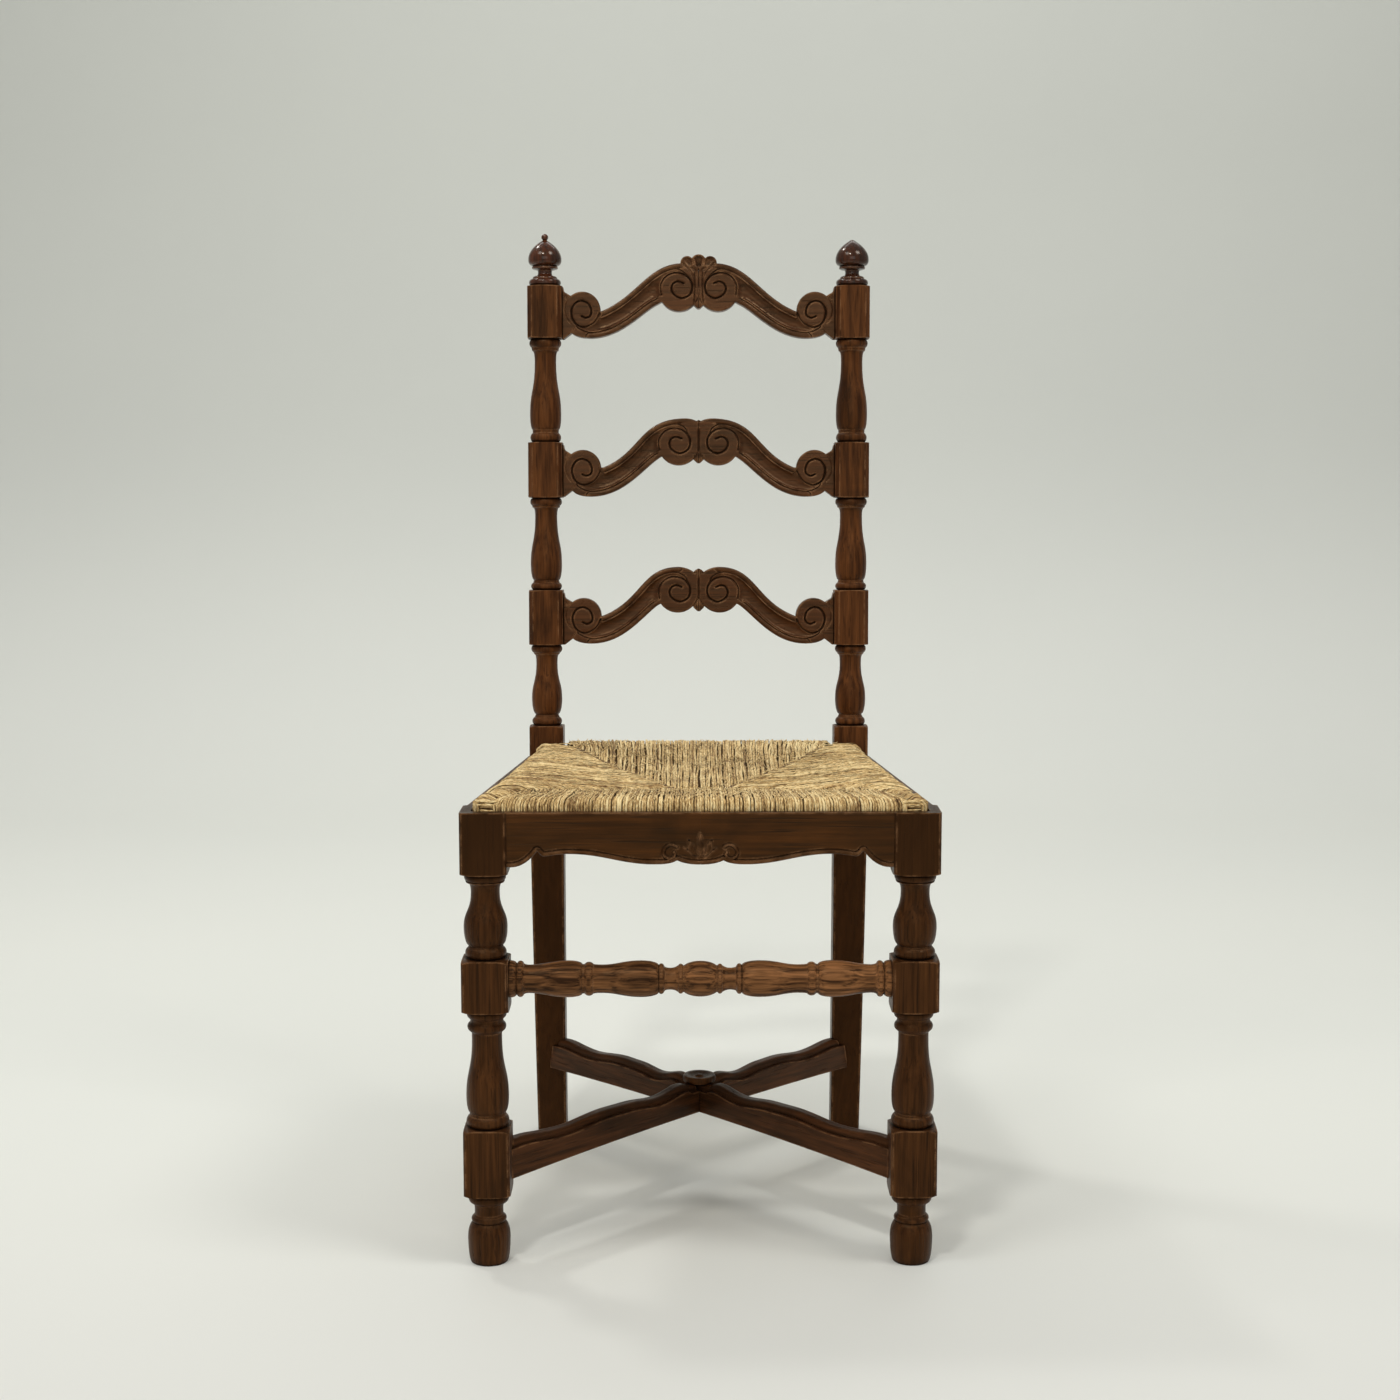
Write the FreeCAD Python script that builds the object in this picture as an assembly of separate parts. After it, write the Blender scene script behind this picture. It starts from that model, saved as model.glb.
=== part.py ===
import FreeCAD, Part
import math
import os

V = FreeCAD.Vector

# Overall sizes, in millimetres.
SEAT_H = 450.0          # floor to the top edge of the seat rails
FRONT_HALF = 207.4      # centre plane to the axis of a front leg
BACK_HALF = 169.3       # centre plane to the axis of a back post
DEPTH = 361.0           # front leg axis to back post axis, at seat height
RAKE = 3.0              # degrees the back leans, above the seat rails
SPLAY = 50.0            # how far a back foot stands behind the post above it

# Squares of the legs.
LEG_SQ = 45.1
POST_SQ = 37.4
FOOT_SQ = 32.6          # back leg at the floor
LEG_ARRIS = 2.0         # chamfers on the vertical corners
POST_ARRIS = 4.6
POST_LOW_ARRIS = 1.6    # the same, below the seat
SHOULDER = 6.0          # height of a turned corner on a square

# Front leg: heights of its squares.
TOP_BLOCK = 61.7
STRETCHER_H = 283.3     # axis of the front stretcher
STRETCHER_UP = 4.1      # how far it enters above the centre of the middle square
MID_BLOCK = 51.8
CROSS_H = 103.5         # centre of the lower square
LOW_BLOCK = 67.2

# Back post, measured along the leaning post from the seat rail's top edge.
SEAT_BLOCK_TOP = 32.2
BLOCK_LOW = 122.1       # underside of each upper square
BLOCK_MID = 285.1
BLOCK_TOP = 459.6
BLOCK_RISE = 61.0       # height of the lower two
CREST_BLOCK_RISE = 57.6

# Seat rails.
RAIL_SET = 1.5          # rails stand back from the faces of the legs
APRON_T = 24.0
RAIL_T = 22.0
RAIL_RISE = 60.0
LIP = 9.0               # rim left round the drop-in seat
REBATE = 25.0           # depth of the ledge below the rim

# Joints.
FIT = 0.2               # clearance round a tenon in its mortise
TENON_T = 9.0
TENON_L = 20.0
SLAT_TENON_T = 8.0
SPIGOT_R = 8.0
SPIGOT_L = 16.0
CREST_HAUNCH = 15.5     # the crest's tenon stops this far down, to pass the finial's spigot
HAUNCH = 4.0            # shoulder above and below the other tenons
TIP_R = 3.8             # ball at the tip of the left finial

# Back slats: each arch's crown above the underside of its squares, and the drop to the outer scroll.
SLAT_T = 16.0
CHANNEL = 3.0           # depth of the band sunk along a slat's face
CREST_ABOVE = 82.3
CREST_DROP = 50.8
MID_ABOVE = 87.3
MID_DROP = 54.4
LOW_ABOVE = 86.4
LOW_DROP = 54.4
SCROLL_R = 20.0         # outer scroll
SCROLL_GAP = 2.6        # between the outer scroll and the post
SCROLL_BELOW = 10.9     # lowest point of a slat below its outer scroll
SCROLL_IN_R = 22.6      # inner scroll
SCROLL_IN_X = 22.6      # its centre from the centre plane
SCROLL_IN_Z = 28.8      # its centre below the crown

# Cross stretchers.
CROSS_T = 24.0
CROSS_BOTTOM = 81.0
CROSS_RISE = 35.5
CROSS_ARCH = 6.0        # how much the underside rises at the lap
RIDGE = 15.0            # width of the rounded ridge along the top
RIDGE_RISE = 7.0        # its height above the ledges on both sides
RIDGE_ROUND = 4.5
BUTTON_R = 17.8
BUTTON_T = 7.0

# Drop-in seat.
SEAT_GAP = 1.2          # play between the seat and the rim
CROWN = 14.0            # rush above the rim
WRAP = 6.0              # rush outside the seat frame
FRAME_W = 32.0
FRAME_T = 20.0
DISH = 8.0              # how far the middle of the seat has sunk
FRONT_BAND = 84.0       # the section of rush wound over the front rail
SEAM = 3.0              # depth of the valleys between the four sections
APEX = 28.0             # from the centre plane to where a side's section ends

Y_MID = (DEPTH + SPLAY + FOOT_SQ / 2 - LEG_SQ / 2) / 2


class Turning:
    """A lathe profile: radius against height, swept round the Z axis."""

    def __init__(self, r, z):
        self.first = (r, z)
        self.at = (r, z)
        self.edges = []

    def point(self, r, z):
        return V(r, 0, z)

    def to(self, r, z):
        if math.hypot(r - self.at[0], z - self.at[1]) > 1e-6:
            self.edges.append(Part.makeLine(self.point(*self.at), self.point(r, z)))
        self.at = (r, z)
        return self

    def arc(self, r_via, z_via, r, z):
        arc = Part.Arc(self.point(*self.at), self.point(r_via, z_via), self.point(r, z))
        self.edges.append(arc.toShape())
        self.at = (r, z)
        return self

    def bead(self, r, z):
        """A half-round ring from here up to z, with its crest at radius r."""
        r0, z0 = self.at
        return self.arc(r, (z0 + z) / 2, r0, z)

    def sweep(self, *poles):
        curve = Part.BezierCurve()
        curve.setPoles([self.point(*self.at)] + [self.point(*p) for p in poles])
        self.edges.append(curve.toShape())
        self.at = poles[-1]
        return self

    def swell(self, r, z):
        """A round belly's start: rises from a groove and ends upright at (r, z)."""
        r0, z0 = self.at
        return self.sweep((r0 + 0.62 * (r - r0), z0 + 0.03 * (z - z0)), (r, z0 + 0.5 * (z - z0)), (r, z))

    def draw(self, r, z):
        """A long S from an upright belly to an upright neck at (r, z)."""
        r0, z0 = self.at
        return self.sweep((r0, z0 + 0.46 * (z - z0)), (r, z0 + 0.46 * (z - z0)), (r, z))

    def cove(self, r, z):
        """A hollow that leaves upright and flares out to (r, z)."""
        r0, z0 = self.at
        return self.sweep((r0, z0 + 0.7 * (z - z0)), (r0 + 0.35 * (r - r0), z), (r, z))

    def solid(self):
        z0 = self.first[1]
        z1 = self.at[1]
        ends = []
        if self.at[0] > 1e-6:
            ends.append(Part.makeLine(self.point(*self.at), V(0, 0, z1)))
        ends.append(Part.makeLine(V(0, 0, z1), V(0, 0, z0)))
        if self.first[0] > 1e-6:
            ends.append(Part.makeLine(V(0, 0, z0), self.point(*self.first)))
        wire = Part.Wire(Part.__sortEdges__(self.edges + ends))
        return Part.Face(wire).revolve(V(0, 0, 0), V(0, 0, 1), 360)


def join(shapes):
    whole = shapes[0].fuse(shapes[1:])
    return whole.removeSplitter()


def box(x0, x1, y0, y1, z0, z1):
    return Part.makeBox(x1 - x0, y1 - y0, z1 - z0, V(x0, y0, z0))


def prism(points, direction):
    wire = Part.makePolygon(list(points) + [points[0]])
    return Part.Face(wire).extrude(direction)


def mirrored(shape):
    return shape.mirror(V(0, 0, 0), V(1, 0, 0))


def block(size, z0, z1, arris, low=True, high=True):
    """A square left on a turned leg, its corners turned off at the ends asked for."""
    h = size / 2
    a = arris
    corners = [(-h + a, -h), (h - a, -h), (h, -h + a), (h, h - a),
               (h - a, h), (-h + a, h), (-h, h - a), (-h, -h + a)]
    square = prism([V(x, y, z0) for x, y in corners], V(0, 0, z1 - z0))
    if not (low or high):
        return square
    near = h - 0.6
    far = h * math.sqrt(2)
    turned = Turning(near if low else far, z0)
    if low:
        turned.sweep((near + 0.8 * (far - near), z0), (far, z0 + 0.4 * SHOULDER), (far, z0 + SHOULDER))
    if high:
        turned.to(far, z1 - SHOULDER)
        turned.sweep((far, z1 - 0.4 * SHOULDER), (near + 0.8 * (far - near), z1), (near, z1))
    else:
        turned.to(far, z1)
    return square.common(turned.solid())


def baluster(z0, z1, foot_bead, groove, belly, neck, collar, head_bead):
    """The turning between two squares: a bead, a vase with a long neck, a collar and a bead.

    foot_bead is (radius, height), groove, belly, neck and collar are (radius, distance from
    their own end of the length), and head_bead is (radius, height).
    """
    t = Turning(foot_bead[0] - 2.6, z0)
    t.bead(foot_bead[0], z0 + foot_bead[1])
    t.to(groove[0], z0 + groove[1])
    t.swell(belly[0], z0 + belly[1])
    t.draw(neck[0], z1 - neck[1])
    t.cove(collar[0], z1 - collar[1])
    t.to(collar[0] + 0.6, z1 - head_bead[1])
    t.to(head_bead[0] - 2.6, z1 - head_bead[1])
    t.bead(head_bead[0], z1)
    return t.solid()


# Front legs.

LEG_MID_LOW = STRETCHER_H - STRETCHER_UP - MID_BLOCK / 2
LEG_MID_TOP = LEG_MID_LOW + MID_BLOCK
LEG_LOW_LOW = CROSS_H - LOW_BLOCK / 2
LEG_LOW_TOP = CROSS_H + LOW_BLOCK / 2
LEG_TOP_LOW = SEAT_H - TOP_BLOCK


def leg_foot():
    t = Turning(17.6, 0)
    t.sweep((19.9, 1.4), (20.9, 15.0), (20.9, 24))
    t.sweep((20.9, 33), (19.0, 38.6), (15.4, 40.8))
    t.bead(17.2, 46.4)
    t.to(14.1, 48.4)
    t.sweep((13.9, 53.5), (13.8, 56.5), (15.0, 59.4))
    t.bead(19.9, LEG_LOW_LOW)
    return t.solid()


def front_leg():
    """The left front leg, upright on its own axis, before its joints are cut."""
    upper = baluster(LEG_MID_TOP, LEG_TOP_LOW, (20.0, 10.0), (16.4, 12.4), (21.2, 30.0),
                     (13.9, 18.8), (18.4, 9.0), (20.2, 7.8))
    lower = Turning(18.0, LEG_LOW_TOP)
    lower.bead(20.9, LEG_LOW_TOP + 11.0)
    lower.to(17.3, LEG_LOW_TOP + 14.0)
    lower.swell(20.8, LEG_LOW_TOP + 29.5)
    lower.draw(14.7, LEG_MID_LOW - 29.0)
    lower.to(14.7, LEG_MID_LOW - 22.5)
    lower.to(16.8, LEG_MID_LOW - 20.5)
    lower.bead(18.9, LEG_MID_LOW - 12.5)
    lower.sweep((15.8, LEG_MID_LOW - 11.5), (16.0, LEG_MID_LOW - 9.0), (16.8, LEG_MID_LOW - 8.2))
    lower.bead(19.3, LEG_MID_LOW)
    return join([
        leg_foot(),
        block(LEG_SQ, LEG_LOW_LOW, LEG_LOW_TOP, LEG_ARRIS),
        lower.solid(),
        block(LEG_SQ, LEG_MID_LOW, LEG_MID_TOP, LEG_ARRIS),
        upper,
        block(LEG_SQ, LEG_TOP_LOW, SEAT_H, LEG_ARRIS, high=False),
    ])


# Back posts: a lower leg sawn to a curve, and a turned upper part that leans.

def lean(shape):
    """Carry a shape drawn upright over the seat line onto the leaning back."""
    out = shape.copy()
    out.rotate(V(0, 0, 0), V(1, 0, 0), -RAKE)
    out.translate(V(0, DEPTH, SEAT_H))
    return out


def octagon(size, arris, x, y, z):
    """A square with cut corners, level at height z, as a closed wire."""
    h = size / 2
    k = h - arris
    corners = [(-k, -h), (k, -h), (h, -k), (h, k), (k, h), (-k, h), (-h, k), (-h, -k)]
    return Part.makePolygon([V(x + cx, y + cy, z) for cx, cy in corners + corners[:1]])


BEND = SEAT_H - RAIL_RISE - 6.0


def leg_line():
    """The back leg's centre line, from the bend down to the floor."""
    curve = Part.BezierCurve()
    curve.setPoles([V(0, DEPTH, BEND), V(0, DEPTH, 0.67 * SEAT_H),
                    V(0, DEPTH + SPLAY * 0.56, 0.24 * SEAT_H), V(0, DEPTH + SPLAY, 0)])
    return curve


def leg_size(z):
    return FOOT_SQ + (POST_SQ - FOOT_SQ) * z / BEND


def back_leg():
    """The square lower part, with the start of the leaning square above it."""
    line = leg_line()
    sections = []
    for i in range(8):
        p = line.value(i / 7.0)
        sections.append(octagon(leg_size(p.z), POST_LOW_ARRIS, 0, p.y, p.z))
    sawn = Part.makeLoft(sections, True, False)
    upright = Part.Face(octagon(POST_SQ, POST_LOW_ARRIS, 0, DEPTH, BEND)).extrude(V(0, 0, SEAT_H + 4 - BEND))
    top = SEAT_BLOCK_TOP - SHOULDER - 4.0
    leaning = lean(Part.Face(octagon(POST_SQ, POST_LOW_ARRIS, 0, 0, -4.0)).extrude(V(0, 0, top + 4.0)))
    above = box(-50, 50, -50, 50, 0, 100)
    below = box(-50, 50, -50, 50, -100, 0)
    for half in (above, below):
        half.rotate(V(0, 0, 0), V(1, 0, 0), -RAKE / 2)
        half.translate(V(0, DEPTH, SEAT_H))
    return join([sawn, upright.cut(above), leaning.cut(below)])


def back_post():
    """The left or right post on the centre plane, before its mortises are cut."""
    low = baluster(SEAT_BLOCK_TOP, BLOCK_LOW, (16.6, 9.0), (12.5, 12.3), (16.9, 30.0),
                   (11.8, 20.5), (14.2, 10.6), (17.3, 9.0))
    mid = baluster(BLOCK_LOW + BLOCK_RISE, BLOCK_MID, (17.2, 8.0), (14.0, 11.0), (17.4, 28.5),
                   (12.2, 20.5), (15.0, 10.8), (17.6, 9.0))
    top = baluster(BLOCK_MID + BLOCK_RISE, BLOCK_TOP, (17.0, 10.5), (14.6, 14.0), (17.3, 30.6),
                   (11.8, 25.0), (14.6, 13.0), (17.6, 9.6))
    parts = [
        block(POST_SQ, SEAT_BLOCK_TOP - SHOULDER - 4.0, SEAT_BLOCK_TOP, POST_LOW_ARRIS, low=False),
        low,
        block(POST_SQ, BLOCK_LOW, BLOCK_LOW + BLOCK_RISE, POST_ARRIS),
        mid,
        block(POST_SQ, BLOCK_MID, BLOCK_MID + BLOCK_RISE, POST_ARRIS),
        top,
        block(POST_SQ, BLOCK_TOP, BLOCK_TOP + CREST_BLOCK_RISE, POST_ARRIS),
    ]
    upper = join(parts)
    deep = SPIGOT_L + 1.5
    socket = Part.makeCylinder(SPIGOT_R + FIT, deep + 1.0, V(0, 0, BLOCK_TOP + CREST_BLOCK_RISE - deep))
    return join([back_leg(), lean(upper)]).cut(lean(socket))


def finial(with_tip):
    """A turned finial with its spigot: the right one has lost the small ball at its tip."""
    z = BLOCK_TOP + CREST_BLOCK_RISE
    t = Turning(SPIGOT_R, z - SPIGOT_L)
    t.to(SPIGOT_R, z)
    t.to(15.2, z)
    t.bead(17.6, z + 7.6)
    t.to(13.6, z + 8.2)
    t.sweep((13.6, z + 10.0), (12.2, z + 11.0), (9.6, z + 11.3))
    t.to(8.8, z + 11.8)
    t.sweep((7.4, z + 13.0), (7.4, z + 15.5), (8.0, z + 17.2))
    t.to(12.6, z + 18.4)
    t.bead(14.4, z + 21.8)
    t.sweep((17.2, z + 22.6), (18.3, z + 25.4), (18.3, z + 29.2))
    t.sweep((18.3, z + 38.0), (10.5, z + 45.0), (4.6, z + 48.6))
    t.sweep((3.6, z + 49.3), (2.8, z + 49.8), (2.2, z + 50.4))
    whole = t.solid()
    if with_tip:
        whole = join([whole, Part.makeSphere(TIP_R, V(0, 0, z + 50.4 + 0.8 * TIP_R))])
    return lean(whole)


# Back slats. Each half is an S-shaped rail between two scrolls.

def slat_curve(points, y=0.0):
    curve = Part.BezierCurve()
    curve.setPoles([V(x, y, z) for x, z in points])
    return curve.toShape()


def slat_x(share):
    """X on a slat's left half: share 0 is the inner scroll's centre and 1 the outer one's."""
    outer = BACK_HALF - POST_SQ / 2 - SCROLL_GAP - SCROLL_R
    return -(SCROLL_IN_X + share * (outer - SCROLL_IN_X))


def rail_edges(drop, crest=False):
    """Poles of the S-shaped rail's upper and lower edges, both from the outer scroll inwards."""
    low = slat_low(drop)
    if crest:
        up = [(slat_x(0.81), -drop - 2.1), (slat_x(0.42), 14.4 - drop), (slat_x(0.315), 0), (-17.4, 0)]
        down = [(slat_x(0.91), low), (slat_x(0.58), low), (slat_x(0.365), -51.3), (slat_x(0.2), -44.0)]
    else:
        up = [(slat_x(0.86), -drop - 1.6), (slat_x(0.38), 13.8 - drop), (slat_x(0.42), 0), (-18.0, 0)]
        down = [(slat_x(0.91), low), (slat_x(0.56), low), (slat_x(0.36), -53.1), (slat_x(0.19), -42.1)]
    return up, down


def slat_low(drop):
    """The lowest point of a slat, from its crown."""
    return -drop - SCROLL_R - SCROLL_BELOW


def flat_face(edges):
    return Part.Face(Part.Wire(Part.__sortEdges__(edges)))


def flat_polygon(points):
    return Part.Face(Part.makePolygon([V(x, 0, z) for x, z in points + points[:1]]))


def slat_tail(drop):
    """Where the lower edge turns up before the end of the slat."""
    return (slat_x(1.0) - 9.4, slat_low(drop) + 5.6)


def slat_rail(drop, crest):
    """The S-shaped rail of a slat's left half, as a face."""
    up, down = rail_edges(drop, crest)
    low = slat_low(drop)
    tail = slat_tail(drop)
    turn = [down[0], (down[0][0] - 10.0, low), (down[0][0] - 17.0, low + 2.0), tail]
    corner = V(up[-1][0], 0, -30.0)
    centre = V(slat_x(1.0), 0, -drop)
    return flat_face([
        slat_curve(up),
        Part.makeLine(V(up[-1][0], 0, 0), corner),
        Part.makeLine(corner, V(down[-1][0], 0, down[-1][1])),
        slat_curve(down),
        slat_curve(turn),
        Part.makeLine(V(tail[0], 0, tail[1]), centre),
        Part.makeLine(centre, V(up[0][0], 0, up[0][1])),
    ])


def slat_channel(drop, crest):
    """The sunk band worked along the middle of the rail's face, between two beads."""
    up, down = rail_edges(drop, crest)
    upper = [(a[0] + 0.26 * (b[0] - a[0]), a[1] + 0.26 * (b[1] - a[1])) for a, b in zip(up, down)]
    lower = [(a[0] + 0.74 * (b[0] - a[0]), a[1] + 0.74 * (b[1] - a[1])) for a, b in zip(up, down)]
    band = flat_face([
        slat_curve(upper),
        Part.makeLine(V(upper[0][0], 0, upper[0][1]), V(lower[0][0], 0, lower[0][1])),
        slat_curve(lower),
        Part.makeLine(V(upper[-1][0], 0, upper[-1][1]), V(lower[-1][0], 0, lower[-1][1])),
    ])
    solid = band.extrude(V(0, CHANNEL + 1.0, 0))
    solid.translate(V(0, -SLAT_T / 2 - 1.0, 0))
    for x, z, r in ((slat_x(1.0), -drop, SCROLL_R), (-SCROLL_IN_X, -SCROLL_IN_Z, SCROLL_IN_R)):
        solid = solid.cut(Part.makeCylinder(r - 0.5, SLAT_T * 2, V(x, -SLAT_T, z), V(0, 1, 0)))
    return solid


def disc(x, z, r):
    return Part.Face(Part.Wire([Part.makeCircle(r, V(x, 0, z), V(0, 1, 0))]))


def slat_end(drop):
    """Heights of a slat's shaped end against the post, from the crown."""
    return slat_low(drop) + 0.4, SCROLL_R - drop - 0.6


def slat(crown, drop, crest=False):
    """A whole slat drawn upright, its crown at the height asked for."""
    post_face = BACK_HALF - POST_SQ / 2
    end_low, end_top = slat_end(drop)
    outer = slat_x(1.0)
    faces = [
        slat_rail(drop, crest),
        flat_polygon([(-post_face, end_low), slat_tail(drop), (outer, -drop), (outer - 14.4, end_top - 4.2),
                      (-post_face, end_top)]),
        disc(outer, -drop, SCROLL_R),
        disc(-SCROLL_IN_X, -SCROLL_IN_Z, SCROLL_IN_R),
        flat_polygon([(-18.0, 0), (-12.0, -1.6), (-6.2, -5.4), (0, -2.4),
                      (0, -49.0), (-6.0, -45.0), (-21.0, -45.0)]),
    ]
    if crest:
        faces.append(disc(-12.4, 0.3, 7.5))
        faces.append(disc(-0.4, 1.8, 7.6))
    solids = []
    for face in faces:
        piece = face.extrude(V(0, SLAT_T, 0))
        piece.translate(V(0, -SLAT_T / 2, 0))
        solids += [piece, mirrored(piece)]
    channel = slat_channel(drop, crest)
    plate = join(solids).cut(channel).cut(mirrored(channel))
    tenon = slat_tenon(drop, crest, 0.0)
    whole = join([plate, tenon, mirrored(tenon)])
    whole.translate(V(0, 0, crown))
    return whole


def slat_tenon(drop, crest, extra):
    """A slat's left tenon, or its mortise where extra is the clearance."""
    post_face = BACK_HALF - POST_SQ / 2
    end_low, end_top = slat_end(drop)
    h = SLAT_TENON_T / 2 + extra
    top = end_top - (CREST_HAUNCH if crest else HAUNCH)
    bottom = end_low + HAUNCH
    return box(-post_face - TENON_L - 4 * extra, -post_face + 5 * extra, -h, h, bottom - extra, top + extra)


# Seat rails.

def side_x(y, inset=0.0):
    """X of the left side rail's outer face at y, moved in by inset."""
    x0 = FRONT_HALF + LEG_SQ / 2 - RAIL_SET
    x1 = BACK_HALF + POST_SQ / 2 - RAIL_SET
    return -(x0 + (x1 - x0) * y / DEPTH) + inset


LEDGE_Z = SEAT_H - REBATE
APRON_FRONT = RAIL_SET - LEG_SQ / 2
APRON_BACK = APRON_FRONT + APRON_T
BACK_RAIL_BACK = DEPTH + POST_SQ / 2 - RAIL_SET
BACK_RAIL_FRONT = BACK_RAIL_BACK - RAIL_T
POST_FRONT = DEPTH - POST_SQ / 2


def apron_edge(leg_face):
    """The shaped lower edge's left half, from the leg to the centre plane.

    Each piece is a curve whose poles are (share of the half width, height below the top edge).
    """
    pieces = [
        [(1.0, 52.6), (0.957, 53.4), (0.903, 52.0), (0.842, 37.0)],
        [(0.842, 37.0), (0.827, 40.2), (0.819, 42.4), (0.803, 42.2)],
        [(0.803, 42.2), (0.751, 41.2), (0.729, 39.6), (0.664, 39.9)],
        [(0.664, 39.9), (0.501, 40.4), (0.403, 50.0), (0.239, 50.0)],
        [(0.239, 50.0), (0.185, 50.0), (0.147, 49.2), (0.120, 46.2)],
        [(0.120, 46.2), (0.082, 49.4), (0.044, 50.2), (0.0, 50.2)],
    ]
    edges = []
    for poles in pieces:
        curve = Part.BezierCurve()
        curve.setPoles([V(-share * leg_face, 0, SEAT_H - down) for share, down in poles])
        edges.append(curve.toShape())
    return edges


def apron():
    leg_face = FRONT_HALF - LEG_SQ / 2
    start = V(-leg_face, 0, SEAT_H - 52.6)
    end = V(0, 0, SEAT_H - 50.2)
    edges = apron_edge(leg_face)
    edges.append(Part.makeLine(end, V(0, 0, SEAT_H)))
    edges.append(Part.makeLine(V(0, 0, SEAT_H), V(-leg_face, 0, SEAT_H)))
    edges.append(Part.makeLine(V(-leg_face, 0, SEAT_H), start))
    face = Part.Face(Part.Wire(Part.__sortEdges__(edges)))
    half = face.extrude(V(0, APRON_T, 0))
    half.translate(V(0, APRON_FRONT, 0))
    rebate = box(-leg_face - 1, 1, APRON_FRONT + LIP, APRON_BACK + 1, LEDGE_Z, SEAT_H + 1)
    half = half.cut(rebate)
    half = join([half, apron_tenon(0.0)])
    return join([half, mirrored(half)])


def apron_tenon(extra):
    leg_face = FRONT_HALF - LEG_SQ / 2
    y = APRON_FRONT + 5.0
    return box(-leg_face - TENON_L - 3 * extra, -leg_face + 1.0, y - extra, y + TENON_T + extra,
               SEAT_H - 49.0 - extra, LEDGE_Z - 4.0 + extra)


def side_rail():
    """The left side rail, square on its inner and outer faces to the slanting seat."""
    y0 = LEG_SQ / 2
    y1 = POST_FRONT
    z0 = SEAT_H - RAIL_RISE
    plan = [V(side_x(y0), y0, z0), V(side_x(y0, RAIL_T), y0, z0),
            V(side_x(y1, RAIL_T), y1, z0), V(side_x(y1), y1, z0)]
    rail = prism(plan, V(0, 0, RAIL_RISE))
    ya = y0 - 1
    yb = y1 + 1
    ledge = prism([V(side_x(ya, LIP), ya, LEDGE_Z), V(side_x(ya, RAIL_T + 1), ya, LEDGE_Z),
                   V(side_x(yb, RAIL_T + 1), yb, LEDGE_Z), V(side_x(yb, LIP), yb, LEDGE_Z)],
                  V(0, 0, REBATE + 1))
    front = side_tenon(y0 - TENON_L + 2, y0 + 1, 0.0)
    back = side_tenon(y1 - 1, y1 + TENON_L - 2, 0.0)
    return join([rail.cut(ledge), front, back])


def side_tenon(y0, y1, extra):
    ya = y0 - 3 * extra
    yb = y1 + 3 * extra
    plan = [V(side_x(ya, 6.0 - extra), ya, 0), V(side_x(ya, 6.0 + TENON_T + extra), ya, 0),
            V(side_x(yb, 6.0 + TENON_T + extra), yb, 0), V(side_x(yb, 6.0 - extra), yb, 0)]
    tenon = prism(plan, V(0, 0, LEDGE_Z - 4.0 - (SEAT_H - RAIL_RISE + 5.0) + 2 * extra))
    tenon.translate(V(0, 0, SEAT_H - RAIL_RISE + 5.0 - extra))
    return tenon


def back_rail():
    face = BACK_HALF - POST_SQ / 2
    rail = box(-face, face, BACK_RAIL_FRONT, BACK_RAIL_BACK, SEAT_H - RAIL_RISE, SEAT_H)
    ledge = box(-face - 1, face + 1, BACK_RAIL_FRONT - 1, BACK_RAIL_BACK - LIP, LEDGE_Z, SEAT_H + 1)
    tenon = back_rail_tenon(0.0)
    return join([rail.cut(ledge), tenon, mirrored(tenon)])


def back_rail_tenon(extra):
    face = BACK_HALF - POST_SQ / 2
    y = BACK_RAIL_BACK - 4.0 - TENON_T
    return box(-face - 12.0 - 3 * extra, -face + 1.0, y - extra, y + TENON_T + extra,
               SEAT_H - RAIL_RISE + 5.0 - extra, LEDGE_Z - 4.0 + extra)


# Front stretcher, turned along Z and then laid down.

STRETCHER_R = 8.0


def front_stretcher():
    """Half of the turning, from the centre out, whose pattern stretches with the chair's width."""
    face = FRONT_HALF - LEG_SQ / 2
    u = face / 184.0
    t = Turning(17.3, 0)
    t.sweep((17.3, 5.2 * u), (16.2, 11.6 * u), (13.0, 15.8 * u))
    t.to(13.0, 16.6 * u)
    t.bead(14.5, 21.2 * u)
    t.to(11.4, 24.0 * u)
    t.sweep((10.2, 27.0 * u), (10.2, 31.0 * u), (11.4, 34.0 * u))
    t.to(13.2, 35.2 * u)
    t.bead(14.8, 40.0 * u)
    t.swell(17.7, 57.0 * u)
    t.sweep((17.7, 74.0 * u), (13.9, 80.0 * u), (13.7, 93.5 * u))
    t.sweep((13.7, 98.0 * u), (13.8, 101.0 * u), (14.3, 103.0 * u))
    t.bead(16.4, 111.6 * u)
    t.to(14.2, 113.6 * u)
    t.swell(17.8, 127.0 * u)
    t.sweep((17.8, 144.0 * u), (13.9, 150.0 * u), (13.7, 165.0 * u))
    t.sweep((13.7, 167.0 * u), (14.0, 169.0 * u), (15.2, 170.2 * u))
    t.bead(17.6, 176.6 * u)
    t.to(15.6, 177.2 * u)
    t.sweep((17.6, 178.6 * u), (18.0, 181.0 * u), (18.0, face - 0.6))
    t.to(18.0, face)
    t.to(STRETCHER_R, face)
    t.to(STRETCHER_R, face + TENON_L - 1.0)
    half = t.solid()
    whole = join([half, half.mirror(V(0, 0, 0), V(0, 0, 1))])
    whole.rotate(V(0, 0, 0), V(0, 1, 0), 90)
    whole.translate(V(0, 0, STRETCHER_H))
    return whole


# Cross stretchers, half-lapped where they meet.

def cross_ends():
    """Plan positions of the inner corners of a front leg and the opposite back leg."""
    a = (-(FRONT_HALF - LEG_SQ / 2), LEG_SQ / 2)
    leg = back_leg_section(CROSS_BOTTOM + CROSS_RISE / 2)
    b = (BACK_HALF - leg[0], leg[1])
    return a, b


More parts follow.
